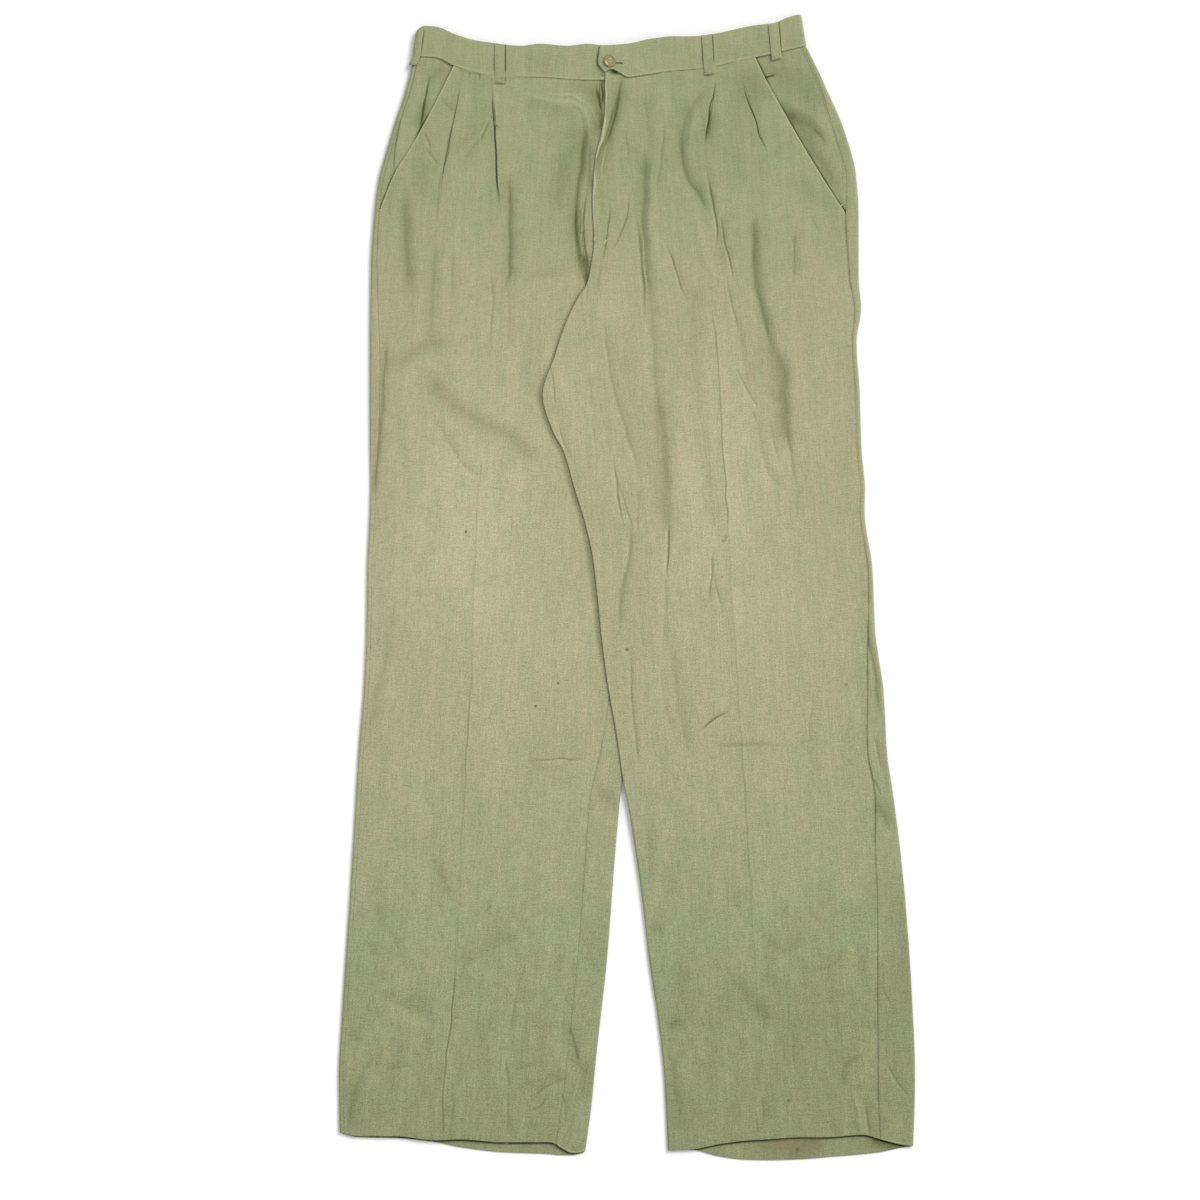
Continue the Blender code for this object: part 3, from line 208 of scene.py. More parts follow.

# Creases, placed along their paths: the trough's depth (negative for a ridge), its width, the shade
# painted along it (negative for painted light), its path, the side of its line that has a painted
# highlight rim (1 away from the light, -1 towards it, 0 neither) and how much steeper it is on the
# left of its path
Crease = namedtuple("Crease", "depth width tone path rim lean", defaults=(1, 0))
CREASES = {
    "right": table(
        Crease,
        # the deep valley beside the fly, its branch, the hollow at its foot and the ridges over it
        (2.3, 10, 0.64, ((-42, 463), (-43, 442), (-46, 420), (-50, 393), (-51, 368), (-49, 340),
                         (-44, 312)), 1, 0.25),
        (0, 9, 0.3, ((-51, 384), (-51, 356), (-48, 330))),
        (0.9, 24, 0.14, ((-54, 464), (-60, 430), (-63, 380), (-58, 336))),
        (-0.5, 4, -0.1, ((-39, 476), (-37.5, 452), (-39, 430), (-41, 408), (-45, 386)), 0),
        (0.8, 4, 0.84, ((-39.5, 396), (-43.5, 372), (-43, 346), (-39, 320)), 0),
        (-0.6, 4, -0.1, ((-40, 374), (-47, 352), (-43, 326))),
        (2.6, 11, 0.9, ((-45, 334), (-42, 316), (-40, 300))),
        (-1.1, 8, -0.3, ((-100, 493), (-84, 489), (-68, 486), (-53, 484), (-45, 480), (-39, 471),
                         (-36, 455)), 0, 0.3),
        (0.5, 4, 0.2, ((-58, 480), (-47, 477), (-43, 464), (-42, 452)), 0),
        (-0.8, 6, -0.22, ((-74, 494), (-57, 492), (-44, 487), (-35, 479), (-30, 466))),
        (0.5, 16, 0.1, ((-112, 484), (-84, 480), (-62, 474), (-52, 462))),
        (0.4, 15, 0.2, ((-62, 503), (-44, 499), (-30, 493))),
        # the shade beside the fly's edge, and the gap under it
        (0, 13, 0.5, ((-29.5, 506), (-29, 488), (-28, 472), (-30, 450))),
        (0, 14, 0.2, ((-36, 474), (-38, 450), (-41, 420), (-42, 396))),
        (0, 9, 0.4, ((-36, 448), (-37, 420), (-38, 394)), 0),
        (0.15, 4, 1.04, ((-24.4, 512), (-24.8, 502), (-23.8, 492), (-23.6, 482)), 0),
        (0.1, 6, 0.88, ((-28.5, 496), (-27, 488), (-24.5, 477)), 0),
        (0, 4, 0.64, ((-24.5, 480), (-25.5, 468), (-28, 454)), 0),
        (0, 3.5, 0.36, ((-31, 505), (-29.5, 498), (-28.6, 490)), 0),
        # the pleats' edges
        (0.4, 3.4, 0.25, ((-168.3, 490), (-174.8, 460), (-180, 432), (-187.5, 396), (-190, 356)), -1),
        (0.5, 7, 0.3, ((-174, 462), (-179, 440), (-184, 414))),
        (0.6, 2.6, 1.05, ((-133.6, 488), (-133, 478), (-131.3, 460), (-130.6, 440), (-129, 405),
                          (-127.5, 382)), -1),
        (0.5, 4, 0.42, ((-137, 466), (-140, 458), (-146, 447))),
        (0.5, 8, 0.2, ((-143, 452), (-153, 440), (-163, 424))),
        # puckers at the waist seam, and beside the pocket
        (0.1, 2.2, 0.32, ((-172, 518.8), (-163, 516), (-153, 512.8), (-142, 511)), 0),
        (0, 2.4, 0.28, ((-120, 509.2), (-106, 508.8), (-88, 508.3)), 0),
        (0.4, 2.6, 0.55, ((-147.6, 513.5), (-147.2, 507))),
        (0, 2.4, 0.8, ((-133, 502.9), (-127, 502.6), (-121.8, 503.2)), 0),
        (0, 2.4, 0.72, ((-121.7, 510.5), (-121.8, 504)), 0),
        (0.4, 2.6, 0.4, ((-157, 515), (-158.5, 508))),
        (0.5, 4, 0.45, ((-203, 455), (-199, 446), (-196, 438))),
        (0.6, 6, 0.3, ((-201, 438), (-195, 430), (-189, 423))),
        (0.5, 7, 0.22, ((-186, 490), (-180, 482), (-172, 474))),
        (0.6, 16, 0.14, ((-138, 466), (-156, 452), (-176, 432))),
        # soft folds below them
        (1.6, 10, 0.66, ((-117, 410), (-117, 372), (-116, 336), (-120, 298)), 1, 0.1),
        (1.8, 12, 0.48, ((-221, 398), (-221, 350), (-218, 296))),
        (0.8, 18, 0.15, ((-204, 426), (-212, 390))),
        (0.7, 5, 0.28, ((-136, 322), (-134, 286), (-138, 242))),
        (0.8, 10, 0.24, ((-190, 347), (-195, 300), (-196, 246))),
        (0.7, 8, 0.2, ((-174, 336), (-175, 288))),
        (0.6, 7, 0.16, ((-118, 290), (-119, 240))),
        (0.6, 18, 0.1, ((-106, 303), (-88, 310), (-62, 312)), 1, -0.5),
        (0.8, 13, 0.24, ((-64, 436), (-67, 404), (-71, 372))),
        # the thigh
        (1.6, 20, 0.3, ((-206, 214), (-186, 194), (-165, 176), (-144, 162), (-118, 150),
                        (-90, 124)), 1, 0.2),
        (1, 9, 0.24, ((-187, 163), (-176, 142), (-164, 124), (-146, 110))),
        (0.8, 16, 0.24, ((-178, 246), (-205, 240), (-232, 220))),
        (0.4, 2.6, 0.3, ((-146, 125), (-147, 99))),
        (0.4, 2.6, 0.3, ((-139, 101), (-125, 98))),
        (1, 10, 0.5, ((-240, 246), (-243, 210), (-245, 170), (-249, 130), (-253, 90)), 1, 0.3),
        # the knee and the shin
        (0.6, 12, 0.18, ((-233, -16), (-240, -66), (-251, -108), (-256, -146))),
        (0.6, 4, 0.42, ((-98, -173), (-70, -171), (-43, -172))),
        (0.5, 15, 0.12, ((-106, -178), (-74, -183))),
        (0.5, 5, 0.16, ((-132, -117), (-139, -133))),
        (0.9, 12, 0.2, ((-196, -266), (-184, -292), (-173, -311))),
        (0.8, 11, 0.2, ((-237, -340), (-228, -360), (-219, -377))),
        (0.8, 16, 0.15, ((-169, -378), (-140, -362), (-105, -343))),
        (0.8, 7, 0.22, ((-106, -382), (-112, -420), (-117, -446))),
        (0.6, 7, 0.15, ((-134, -406), (-138, -444))),
        (0.7, 12, 0.2, ((-248, -407), (-224, -416), (-198, -427)), 1, -0.5),
        (-0.8, 18, -0.1, ((-242, -432), (-194, -439))),
        (0.6, 12, 0.2, ((-259, -350), (-253, -369))),
        (0.6, 12, 0.2, ((-249, -316), (-246, -340))),
        # above the hem
        (1.4, 9, 0.6, ((-59, -437), (-53, -456), (-46, -480)), 1, 0.3),
        (0.8, 6, 0.35, ((-121, -472), (-118, -500))),
        (0.6, 3.5, 0.3, ((-118, -505), (-120, -543))),
        (1, 11, 0.24, ((-111, -500), (-90, -494), (-66, -482))),
        (1, 9, 0.3, ((-96, -515), (-82, -499), (-66, -492), (-58, -496))),
        (0.6, 6, 0.26, ((-101, -524), (-86, -518), (-79, -509))),
        (0.6, 9, 0.2, ((-114, -486), (-98, -476), (-80, -474))),
        (0.5, 4, 0.3, ((-66, -500), (-61, -520), (-62, -540))),
        (0.6, 6, 0.2, ((-74, -452), (-53, -458))),
        (0.6, 5, 0.28, ((-61, -469), (-49, -476))),
        (0.6, 5, 0.2, ((-241, -481), (-211, -477))),
        (1, 10, 0.3, ((-249, -465), (-266, -488), (-276, -516), (-279, -545))),
        (0.5, 4, 0.2, ((-172, -506), (-178, -548))),
        (1, 12, 0.25, ((-279, -446), (-266, -452))),
        (0.9, 14, 0.3, ((-30, -200), (-8, -222))),
        (0.9, 12, 0.3, ((-41, -474), (-44, -514))),
    ),
    "left": table(
        Crease,
        # the fly: a narrow valley behind its edge
        (1.1, 7, 0.54, ((-4.7, 512), (-7.5, 490), (-11, 472), (-17.5, 454), (-25, 438)), 0, 0.2),
        (0.4, 5, 0.4, ((-10.5, 486), (-15.5, 469), (-22.5, 450), (-28, 432), (-30, 420)), 0),
        (0.4, 13, 0.44, ((-6, 506), (-10, 480), (-18, 450), (-28, 412))),
        (-0.3, 2.5, -0.45, ((-19.5, 444), (-23, 430), (-26, 408)), 0),
        # the painted highlight along its edge, and what gathers at its foot
        (0, 1.6, -1, ((-19.6, 513), (-21, 500), (-20.4, 485), (-25, 450), (-30.8, 431), (-32.6, 407),
                      (-33, 352)), 0),
        (0.5, 2.8, 0.64, ((-17.6, 382), (-18.4, 363), (-20.1, 343), (-23, 329)), 0),
        (0.6, 3.6, 0.52, ((2, 389), (-1.3, 366), (-8, 348), (-12, 340)), 0),
        (0.5, 8, 0.2, ((-22, 348), (-27, 318), (-30, 288))),
        (0.4, 2.5, 0.25, ((0, 458), (0, 424))),
        # long soft folds of the thigh
        (0.3, 26, 0.22, ((112, 516), (128, 500), (142, 482)), 0),
        (0, 2.4, 0.8, ((76.6, 511.6), (83, 511.4), (88, 512.4)), 0),
        (0.5, 14, 0.2, ((97, 374), (94, 345), (97, 316))),
        (1.8, 11, 0.53, ((18, 434), (18, 392), (17, 358), (20, 326), (23, 284)), 0, 0.25),
        (-0.8, 7, -0.16, ((25, 432), (25, 392), (24, 356), (27, 322))),
        (1, 5, 0.45, ((11, 366), (13, 336), (17, 304), (18, 268))),
        (-1.4, 4, -0.35, ((15, 352), (18, 320), (20, 294))),
        (0.9, 5, 0.3, ((38, 466), (35, 434), (31, 400))),
        (0.8, 9, 0.15, ((13, 494), (21, 470), (21, 434))),
        (1.7, 11, 0.27, ((78, 497), (65, 479), (57, 460), (54.5, 440)), 0, 0.15),
        (-0.8, 6, -0.14, ((72, 480), (65, 462), (63, 440)), 0),
        (2, 10, 0.6, ((55.5, 456), (54.5, 436), (60, 412), (72, 394), (83, 376)), 1, 0.1),
        (0.9, 16, 0.18, ((66, 302), (67, 236), (70, 200), (76, 150), (84, 90), (86, 54))),
        (1.2, 8, 0.3, ((-23, 266), (-18, 226), (-13, 198), (-5, 172), (3, 148), (13, 110))),
        # the pleats' edges and what runs on below them
        (0.5, 2.6, 0.96, ((87, 501), (85.6, 490), (83.5, 479), (80.7, 465), (78.2, 452),
                          (77.5, 444)), 0),
        (0.5, 5, 0.48, ((84, 480), (82, 464), (79.4, 448)), 0),
        (0, 13, 0.3, ((86, 476), (83, 462), (80, 444))),
        (0.5, 2.4, 1.25, ((117, 501), (120, 490), (124.6, 476), (128.4, 465), (132, 454),
                          (138, 440)), -1),
        (0.8, 4, 0.75, ((80, 414), (85, 388), (90, 360), (88, 342))),
        (0.9, 3.5, 0.65, ((94, 368), (99, 342), (108, 307))),
        (0.7, 4, 0.45, ((101, 308), (105, 284), (110, 260))),
        (-0.8, 6, -0.18, ((69, 373), (75, 340), (84, 318), (99, 305))),
        (0.9, 4, 0.6, ((40, 340), (48, 320), (58, 292))),
        (2.2, 11, 0.7, ((127, 368), (127, 330), (130, 300), (136, 272), (146, 240)), 1, -0.15),
        (1.9, 16, 0.58, ((145, 246), (156, 216), (158, 184), (160, 138)), 1, 0.4),
        (0.9, 7, 0.3, ((160, 154), (165, 128), (169, 102)), 1, 0.2),
        (0.7, 7, 0.2, ((172, 103), (170, 72))),
        (1.2, 8, 0.38, ((168, 360), (167, 302))),
        (0.5, 5, 0.2, ((184, 370), (194, 351))),
        (0.6, 14, 0.1, ((149, 404), (176, 396), (205, 379))),
        (0.7, 3.5, 0.35, ((109, 219), (120, 198), (132, 177))),
        (0.6, 4, 0.3, ((121, 182), (131, 165))),
        (0.8, 9, 0.2, ((132, 168), (136, 134), (143, 112), (157, 99))),
        (0.6, 4, 0.2, ((142, 169), (152, 124))),
        # the knee
        (1.4, 14, 0.36, ((31, 190), (37, 140), (39, 100), (39, 48)), 1, 0.1),
        (1, 10, 0.26, ((24, 292), (26, 250), (29, 206), (35, 168))),
        (0.9, 11, 0.2, ((110, 268), (117, 232), (122, 194))),
        (1, 4, 0.8, ((41, 64), (41, 40), (40, 12))),
        (0.8, 8, 0.2, ((40, 14), (37, -62))),
        (0.9, 5, 0.55, ((87, 36), (85, 14), (82, -10))),
        (0.7, 5, 0.3, ((87, 12), (96, -28))),
        (0.5, 4, 0.2, ((15, 206), (15, 176))),
        (0.9, 4, 0.6, ((-12, 126), (-9, 96), (-4, 64)), 1, 0.1),
        (0.6, 3, 0.35, ((-8, 104), (0, 80), (7, 58))),
        (0.6, 5, 0.2, ((12, 100), (12, 54))),
        (1.3, 9, 0.42, ((4, 64), (2, 30), (-4, 0), (-8, -46))),
        # beside the inner fold
        (0.4, 2.5, 0.25, ((-37, 214), (-36, 182))),
        (0.5, 4, 0.2, ((-34, 162), (-32, 146))),
        (0.6, 3, 0.4, ((-76, 224), (-72, 196), (-72, 180))),
        (0.5, 2.5, 0.4, ((-69, 164), (-58, 132))),
        (0.4, 3, 0.35, ((-39, 306), (-41, 284))),
        # the shin
        (1, 6, 0.4, ((5, -64), (5, -112), (9, -152), (13, -178))),
        (0.8, 10, 0.22, ((44, -54), (50, -100), (56, -140), (65, -170))),
        (0.6, 7, 0.15, ((33, -76), (38, -112), (48, -152))),
        (1.1, 5, 0.8, ((76, -141), (88, -131), (99, -125)), 1, 0.3),
        (0.7, 9, 0.3, ((91, -157), (120, -156), (151, -157)), 1, 0.7),
        (0.5, 4, 0.2, ((174, -155), (191, -151))),
        (0.5, 5, 0.15, ((186, -106), (182, -152))),
        (1, 10, 0.22, ((22, -234), (24, -302))),
        (1.3, 9, 0.5, ((240, -38), (247, -82), (253, -128))),
        (1, 8, 0.35, ((247, -148), (257, -184))),
        (0.8, 4, 0.5, ((246, -191), (254, -207))),
        (1.2, 12, 0.35, ((249, -212), (263, -240))),
        # the lower leg and above the hem
        (0.9, 14, 0.3, ((23, -337), (37, -345))),
        (1, 12, 0.2, ((133, -351), (154, -362), (173, -353))),
        (0.7, 14, 0.14, ((103, -307), (114, -319))),
        (1.3, 16, 0.28, ((99, -385), (118, -406), (134, -426), (147, -437))),
        (0.9, 8, 0.25, ((217, -360), (206, -377), (183, -382))),
        (1, 12, 0.35, ((39, -441), (55, -433))),
        (0.8, 10, 0.22, ((46, -465), (49, -508), (56, -537))),
        (0.7, 5, 0.25, ((227, -451), (243, -456))),
        (1.1, 9, 0.3, ((217, -499), (216, -484), (223, -474), (234, -469))),
        (0.8, 9, 0.15, ((221, -500), (251, -503)), 1, -0.4),
        (-1.6, 7, -0.22, ((229, -506), (231, -525), (236, -550))),
        (1, 6, 0.5, ((239, -516), (243, -548))),
        (0.9, 5, 0.45, ((261, -475), (270, -494), (280, -507))),
        (0.6, 3.5, 0.35, ((136, -508), (136, -533))),
        (0.6, 3, 0.3, ((129, -525), (131, -550))),
        (0.5, 4, 0.2, ((165, -438), (168, -484))),
        (0.5, 4, 0.2, ((255, -400), (264, -417))),
    ),
    "right_facing": table(
        Crease,
        (1, 5, 1.04, ((-197.5, 509), (-201, 490), (-203, 475), (-205.3, 463), (-207, 458)), 0),
        (0.6, 13, 0.4, ((-201, 486), (-204, 472), (-208, 456))),
        (0.4, 3.2, 0.76, ((-225.5, 472), (-228.5, 458), (-231, 446), (-232, 430), (-231.8, 416)), 0),
        (0.4, 15, 0.3, ((-200, 505), (-190, 513), (-178, 521))),
    ),
    "left_facing": table(
        Crease,
        (0.6, 5, 1.28, ((135, 509.3), (141, 510.3), (148, 512.4)), 0),
        (0.5, 15, 0.25, ((147, 522), (140, 514))),
        (0, 34, 0.2, ((150, 522), (176, 500), (205, 474))),
        (0.3, 13, 0.35, ((152, 484), (160, 474), (170, 468))),
        (1, 13, 0.42, ((160, 473), (178, 465), (189, 455), (199, 444))),
        (0.4, 5, 0.28, ((186, 458), (194, 451), (200, 443)), 0),
        (-0.8, 9, -0.12, ((160, 484), (184, 471), (201, 452))),
        (0.5, 13, 0.36, ((158, 478), (168, 464), (181, 446), (195, 423), (211, 397))),
        (0.3, 2.5, 0.16, ((207, 457), (214, 428), (217, 400)), 0),
    ),
    "right_back": table(
        Crease,
        (0.9, 14, 0.2, ((-180, 430), (-176, 300), (-186, 210))),
        (0.8, 10, 0.15, ((-90, 330), (-110, 240), (-118, 130))),
        (0.9, 16, 0.2, ((-150, 60), (-166, -60), (-172, -180))),
        (0.7, 9, 0.15, ((-230, -230), (-214, -300))),
        (0.8, 12, 0.2, ((-120, -330), (-134, -450))),
        (0.7, 8, 0.2, ((-60, 420), (-72, 350), (-66, 300))),
    ),
    "left_back": table(
        Crease,
        (0.9, 14, 0.2, ((150, 440), (156, 330), (150, 240))),
        (0.8, 10, 0.15, ((40, 400), (58, 320))),
        (0.9, 16, 0.2, ((140, 120), (150, 0), (156, -120))),
        (0.8, 11, 0.18, ((110, -240), (130, -380))),
        (0.7, 9, 0.15, ((220, -300), (236, -420))),
        (0.7, 9, 0.15, ((90, 250), (120, 180))),
        (0, 13, 0.7, ((240, -551), (260, -556), (282, -560))),
    ),
}
# The creases pressed into the legs below the pleats, each in the stretches that still show
PRESSED = {
    "right": table(
        Crease,
        (-0.5, 3, 0.14, ((-147, 118), (-153, 2), (-155, -83), (-161, -175), (-172, -400), (-183, -490),
                         (-183, -560))),
        (0, 1.8, 0.35, ((-155, -92), (-159, -140), (-162, -208))),
        (0, 2.2, 0.5, ((-171.5, -384), (-174.5, -420), (-179, -458), (-183, -500), (-183, -548))),
    ),
    "left": table(
        Crease,
        (-0.5, 3, 0.14, ((86, 273), (97.5, 118), (104.5, 2), (110, -82), (116, -175), (130, -400),
                         (137, -490))),
        (0, 1.8, 0.45, ((86, 272), (91, 220), (97.5, 118), (101, 60))),
        (0, 3, 0.25, ((117, -188), (122, -260), (126, -330))),
    ),
}


# ---- curves and noise ----

def smooth(t):
    """0 up to t = 0, 1 from t = 1, and an S-curve between."""
    t = np.clip(t, 0.0, 1.0)
    return t * t * (3 - 2 * t)


def mix(a, b, t):
    return a + (b - a) * t


def curve(rows, key, column):
    """A function that runs smoothly through a table's column, read along its key."""
    rows = sorted(rows, key=lambda row: getattr(row, key))
    at = np.array([getattr(row, key) for row in rows], float)
    values = np.array([getattr(row, column) for row in rows], float)
    spans = np.diff(at)
    steps = np.diff(values) / spans
    slopes = np.concatenate([steps[:1], np.zeros(len(at) - 2), steps[-1:]])
    both = steps[:-1] * steps[1:] > 0
    slopes[1:-1][both] = (2 * steps[:-1] * steps[1:])[both] / (steps[:-1] + steps[1:])[both]

    def value(where):
        where = np.clip(where, at[0], at[-1])
        n = np.clip(np.searchsorted(at, where, side="right") - 1, 0, len(spans) - 1)
        span = spans[n]
        t = (where - at[n]) / span
        start = (1 + 2 * t) * (1 - t) ** 2 * values[n] + t * (1 - t) ** 2 * span * slopes[n]
        return start + t * t * (3 - 2 * t) * values[n + 1] + t * t * (t - 1) * span * slopes[n + 1]

    return value


NOISE_CELLS = 61


def noise(x, y, across, along, seed):
    """Smooth noise from -1 to 1 whose cells are across by along millimetres."""
    cells = np.random.RandomState(seed).uniform(-1, 1, (NOISE_CELLS, NOISE_CELLS))
    u, v = np.broadcast_arrays(x / across, y / along)
    i, j = np.floor(u).astype(int), np.floor(v).astype(int)
    s, t = smooth(u - i), smooth(v - j)
    i, j, right, up = (n % NOISE_CELLS for n in (i, j, i + 1, j + 1))
    low = mix(cells[i, j], cells[right, j], s)
    high = mix(cells[i, up], cells[right, up], s)
    return mix(low, high, t)


waist_top = curve(WAIST, "x", "top")
waist_seam_line = curve(WAIST, "x", "seam")
right_fold = curve(RIGHT_SIDE, "y", "fold")
right_inset = curve(RIGHT_SIDE, "y", "inset")
left_fold_outer = curve(LEFT_SIDE, "y", "fold")
left_inset = curve(LEFT_SIDE, "y", "inset")
right_inner = curve(RIGHT_INNER, "y", "x")
left_fold = curve(LEFT_FOLD, "y", "x")
under_edge = curve(UNDER_EDGE, "y", "x")
right_opening = curve(RIGHT_OPENING, "y", "x")
left_opening = curve(LEFT_OPENING, "y", "x")
rest_level = curve(LEVELS, "y", "top")
puff_level = curve(LEVELS, "y", "puff")
PLEAT_LINES = {name: curve(PLEATS, "y", name) for name in Pleats._fields[1:]}
HEM_LINES = {
    (leg, layer): curve(table, "x", layer)
    for leg, table in (("right", RIGHT_HEM), ("left", LEFT_HEM))
    for layer in ("upper", "lower")
}


# ---- rows down the legs ----

Rows = namedtuple("Rows", "y waist hem")    # base height, and how far it is drawn to the seam or hem
TUCK = (1.036, 1.022, 1.010, 1.003, 0.998, 0.993, 0.985)    # rows at and past the waist seam
HEM_EDGE = (0.970, 0.982, 0.990, 0.9955, 0.9985, 1.0)       # rows at the hem's rounded edge


def column(values):
    return np.array(values, float)[:, None]


def make_rows(low=None, high=None):
    """Rows of the panels, or those of them between two heights."""
    waist = list(TUCK) + list(np.linspace(0.97, 0, int(130 / 2.6)))
    straight = np.linspace(WAIST_REACH, HEM_REACH, int((WAIST_REACH - HEM_REACH) / ROW_GRID))[1:]
    hem = list(np.linspace(0, 0.955, int(75 / ROW_GRID)))[1:] + list(HEM_EDGE)
    y = np.concatenate([np.full(len(waist), WAIST_REACH), straight, np.full(len(hem), HEM_REACH)])
    share_up = np.concatenate([waist, np.zeros(len(straight) + len(hem))])
    share_down = np.concatenate([np.zeros(len(waist) + len(straight)), hem])
    keep = np.ones(len(y), bool)
    if high is not None:
        keep &= (share_up == 0) & (y <= high)
    if low is not None:
        keep &= (share_down == 0) & (y >= low)
    return Rows(column(y[keep]), column(share_up[keep]), column(share_down[keep]))


def waist_seam(x, corner):
    """The waist seam's y.  With corner 1 it follows the overlap's rounded lower corner."""
    return waist_seam_line(x) + corner * CORNER_LIFT * (1 - smooth((x - OVERLAP_END) / CORNER_RUN))


def row_y(rows, x, leg, under=0.0):
    """Height of each row at x, under being 0 on the upper layer and 1 on the lower."""
    corner = (1.0 - np.clip(under, 0, 1)) if leg == "left" else 0.0
    hem = mix(HEM_LINES[leg, "upper"](x), HEM_LINES[leg, "lower"](x), under)
    return rows.y + rows.waist * (waist_seam(x, corner) - GAP - rows.y) + rows.hem * (hem - rows.y)


def meet(rows, line, leg, under=0.0):
    """x where each row meets a line given as a function of y."""
    x = line(rows.y)
    for _ in range(14):
        x = line(row_y(rows, x, leg, under))
    return x


def across(start, end, count):
    """Columns at even distances from start to end, both included."""
    return mix(start, end, np.linspace(0, 1, count)[None, :])


# ---- heights of the layers ----

def hump(u):
    return np.sin(math.pi * np.clip(u, 0, 1)) ** PUFF_POWER


def crumple_share(u):
    return smooth(u / EDGE_SHARE) * smooth((1 - u) / EDGE_SHARE)


def rounded(path):
    """A smooth curve through a path's points, as points closer together."""
    points = np.array(path, float)
    if len(points) < 3:
        return points
    ends = np.concatenate([2 * points[:1] - points[1:2], points, 2 * points[-1:] - points[-2:-1]])
    t = np.linspace(0, 1, 5)[:-1, None]
    pieces = []
    for a, b, c, d in zip(ends, ends[1:], ends[2:], ends[3:]):
        pieces.append(b + t * (c - a) / 2 + t ** 2 * (a - 2.5 * b + 2 * c - d / 2)
                      + t ** 3 * (1.5 * (b - c) + (d - a) / 2))
    return np.concatenate(pieces + [points[-1:]])


def wavered(x, y):
    """Places moved a little, so that lines drawn by them waver; not at the waistband or the hems."""
    amount = 1.1 * smooth((508 - y) / 10) * smooth((y + 541) / 10)
    return x + amount * noise(x, y, 11, 15, 91), y + amount * noise(x, y, 11, 15, 92)


def beside_path(crease, x, y):
    """(distance, side, share) of points beside a crease: side is 1 on its left, share fades at its ends."""
    path = rounded(crease.path)
    steps = np.hypot(*np.diff(path, axis=0).T)
    length = steps.sum()
    fade = min(30.0, 0.4 * length)
    best = np.full(x.shape, 1e9)
    share = np.zeros(x.shape)
    left = np.zeros(x.shape)
    travelled = 0.0
    for (ax, ay), (bx, by), step in zip(path, path[1:], steps):
        t = ((x - ax) * (bx - ax) + (y - ay) * (by - ay)) / step ** 2
        if travelled > 0:
            t = np.maximum(t, 0)
        if travelled + step < length - 1e-6:
            t = np.minimum(t, 1)
        away = np.hypot(x - ax - t * (bx - ax), y - ay - t * (by - ay))
        closer = away < best
        best = np.where(closer, away, best)
        share = np.where(closer, travelled + t * step, share)
        left = np.where(closer, np.sign((bx - ax) * (y - ay) - (by - ay) * (x - ax)), left)
        travelled += step
    return best, left, smooth((share + 0.3 * fade) / fade) * smooth((length - share + 0.3 * fade) / fade)


def crease_amount(crease, x, y):
    """1 on a crease's line, falling away beside it and towards its ends."""
    away, left, ends = beside_path(crease, x, y)
    reach = crease.width / 2 * (1 - crease.lean * left)
    return ends * np.exp(-((away / reach) ** 1.6))


def crisp_share(crease):
    """How much of a crease's painted shade is a fine line: all of it on narrow ones, none on wide ones."""
    return float(np.clip((13 - crease.width) / 7, 0, 1))


def points_along(crease):
    path = rounded(crease.path)
    return np.concatenate([mix(a, b, np.linspace(0, 1, 5)[:, None]) for a, b in zip(path, path[1:])])


CHANNELS = 3           # sets of painted shade lines on a piece; lines near each other go into different ones
# a fine line's parts: its signed place, the shade painted on it and its painted highlight rim
LINE_PARTS = ("place", "dark", "rim")
OWN_CHANNEL = 12.0     # lines closer than this don't share a channel
FAR_PLACE = 9.0        # line widths from the nearest line where there is none


def channels_of(crease_rows):
    """A channel for each crease, so that lines near each other don't share one."""
    sampled = [points_along(crease) for crease in crease_rows]
    chosen = []
    for n, points in enumerate(sampled):
        costs = [0] * CHANNELS
        for m in range(n):
            apart = np.hypot(*(points[:, None] - sampled[m][None]).reshape(-1, 2).T).min()
            if apart < OWN_CHANNEL and crisp_share(crease_rows[m]) > 0:
                costs[chosen[m]] += 1
        chosen.append(costs.index(min(costs)))
    return chosen


def line_fields(crease_rows, x, y, shown):
    """For each channel: line widths to the nearest fine line, its painted shade and its painted highlight
    rim.

    The distance is signed, towards the light or away from it, and changes evenly from point to point, so
    the material draws the line finer than the grid.
    """
    x, y = wavered(x, y)
    fields = [(np.full(x.shape, FAR_PLACE), np.zeros(x.shape), np.zeros(x.shape)) for _ in range(CHANNELS)]
    for crease, channel in zip(crease_rows, channels_of(crease_rows)):
        strength = crease.tone * crisp_share(crease)
        if strength == 0:
            continue
        width = 0.5 + 0.13 * crease.width
        run = np.subtract(crease.path[-1], crease.path[0])
        to_light = 1 if run[0] * KEY_FROM[1] - run[1] * KEY_FROM[0] > 0 else -1
        if crease.rim < 0:
            to_light = -to_light
        at = near(crease, x, y)
        away, side, ends = beside_path(crease, x[at], y[at])
        place, dark, rim = fields[channel]
        closer = away / width < np.abs(place[at])
        place[at] = np.where(closer, away * side * to_light / width, place[at])
        dark[at] = np.where(closer, strength * ends * (1 - smooth((away - 3.8) / 2)), dark[at])
        rim[at] = np.where(closer, abs(crease.rim), rim[at])
    return [(place, dark * shown, rim) for place, dark, rim in fields]


def near(crease, x, y):
    """Which points a crease can reach."""
    path = np.array(crease.path, float)
    room = crease.width * 1.3 + 10
    low, high = path.min(0) - room, path.max(0) + room
    return (x > low[0]) & (x < high[0]) & (y > low[1]) & (y < high[1])


def creases(crease_rows, x, y):
    """(height, painted shading) that a table's creases add."""
    height = np.zeros(x.shape)
    tone = np.zeros(x.shape)
    x, y = wavered(x, y)
    for crease in crease_rows:
        at = near(crease, x, y)
        amount = crease_amount(crease, x[at], y[at])
        height[at] -= crease.depth * amount
        tone[at] += crease.tone * (1 - crisp_share(crease)) * amount
    return height, tone


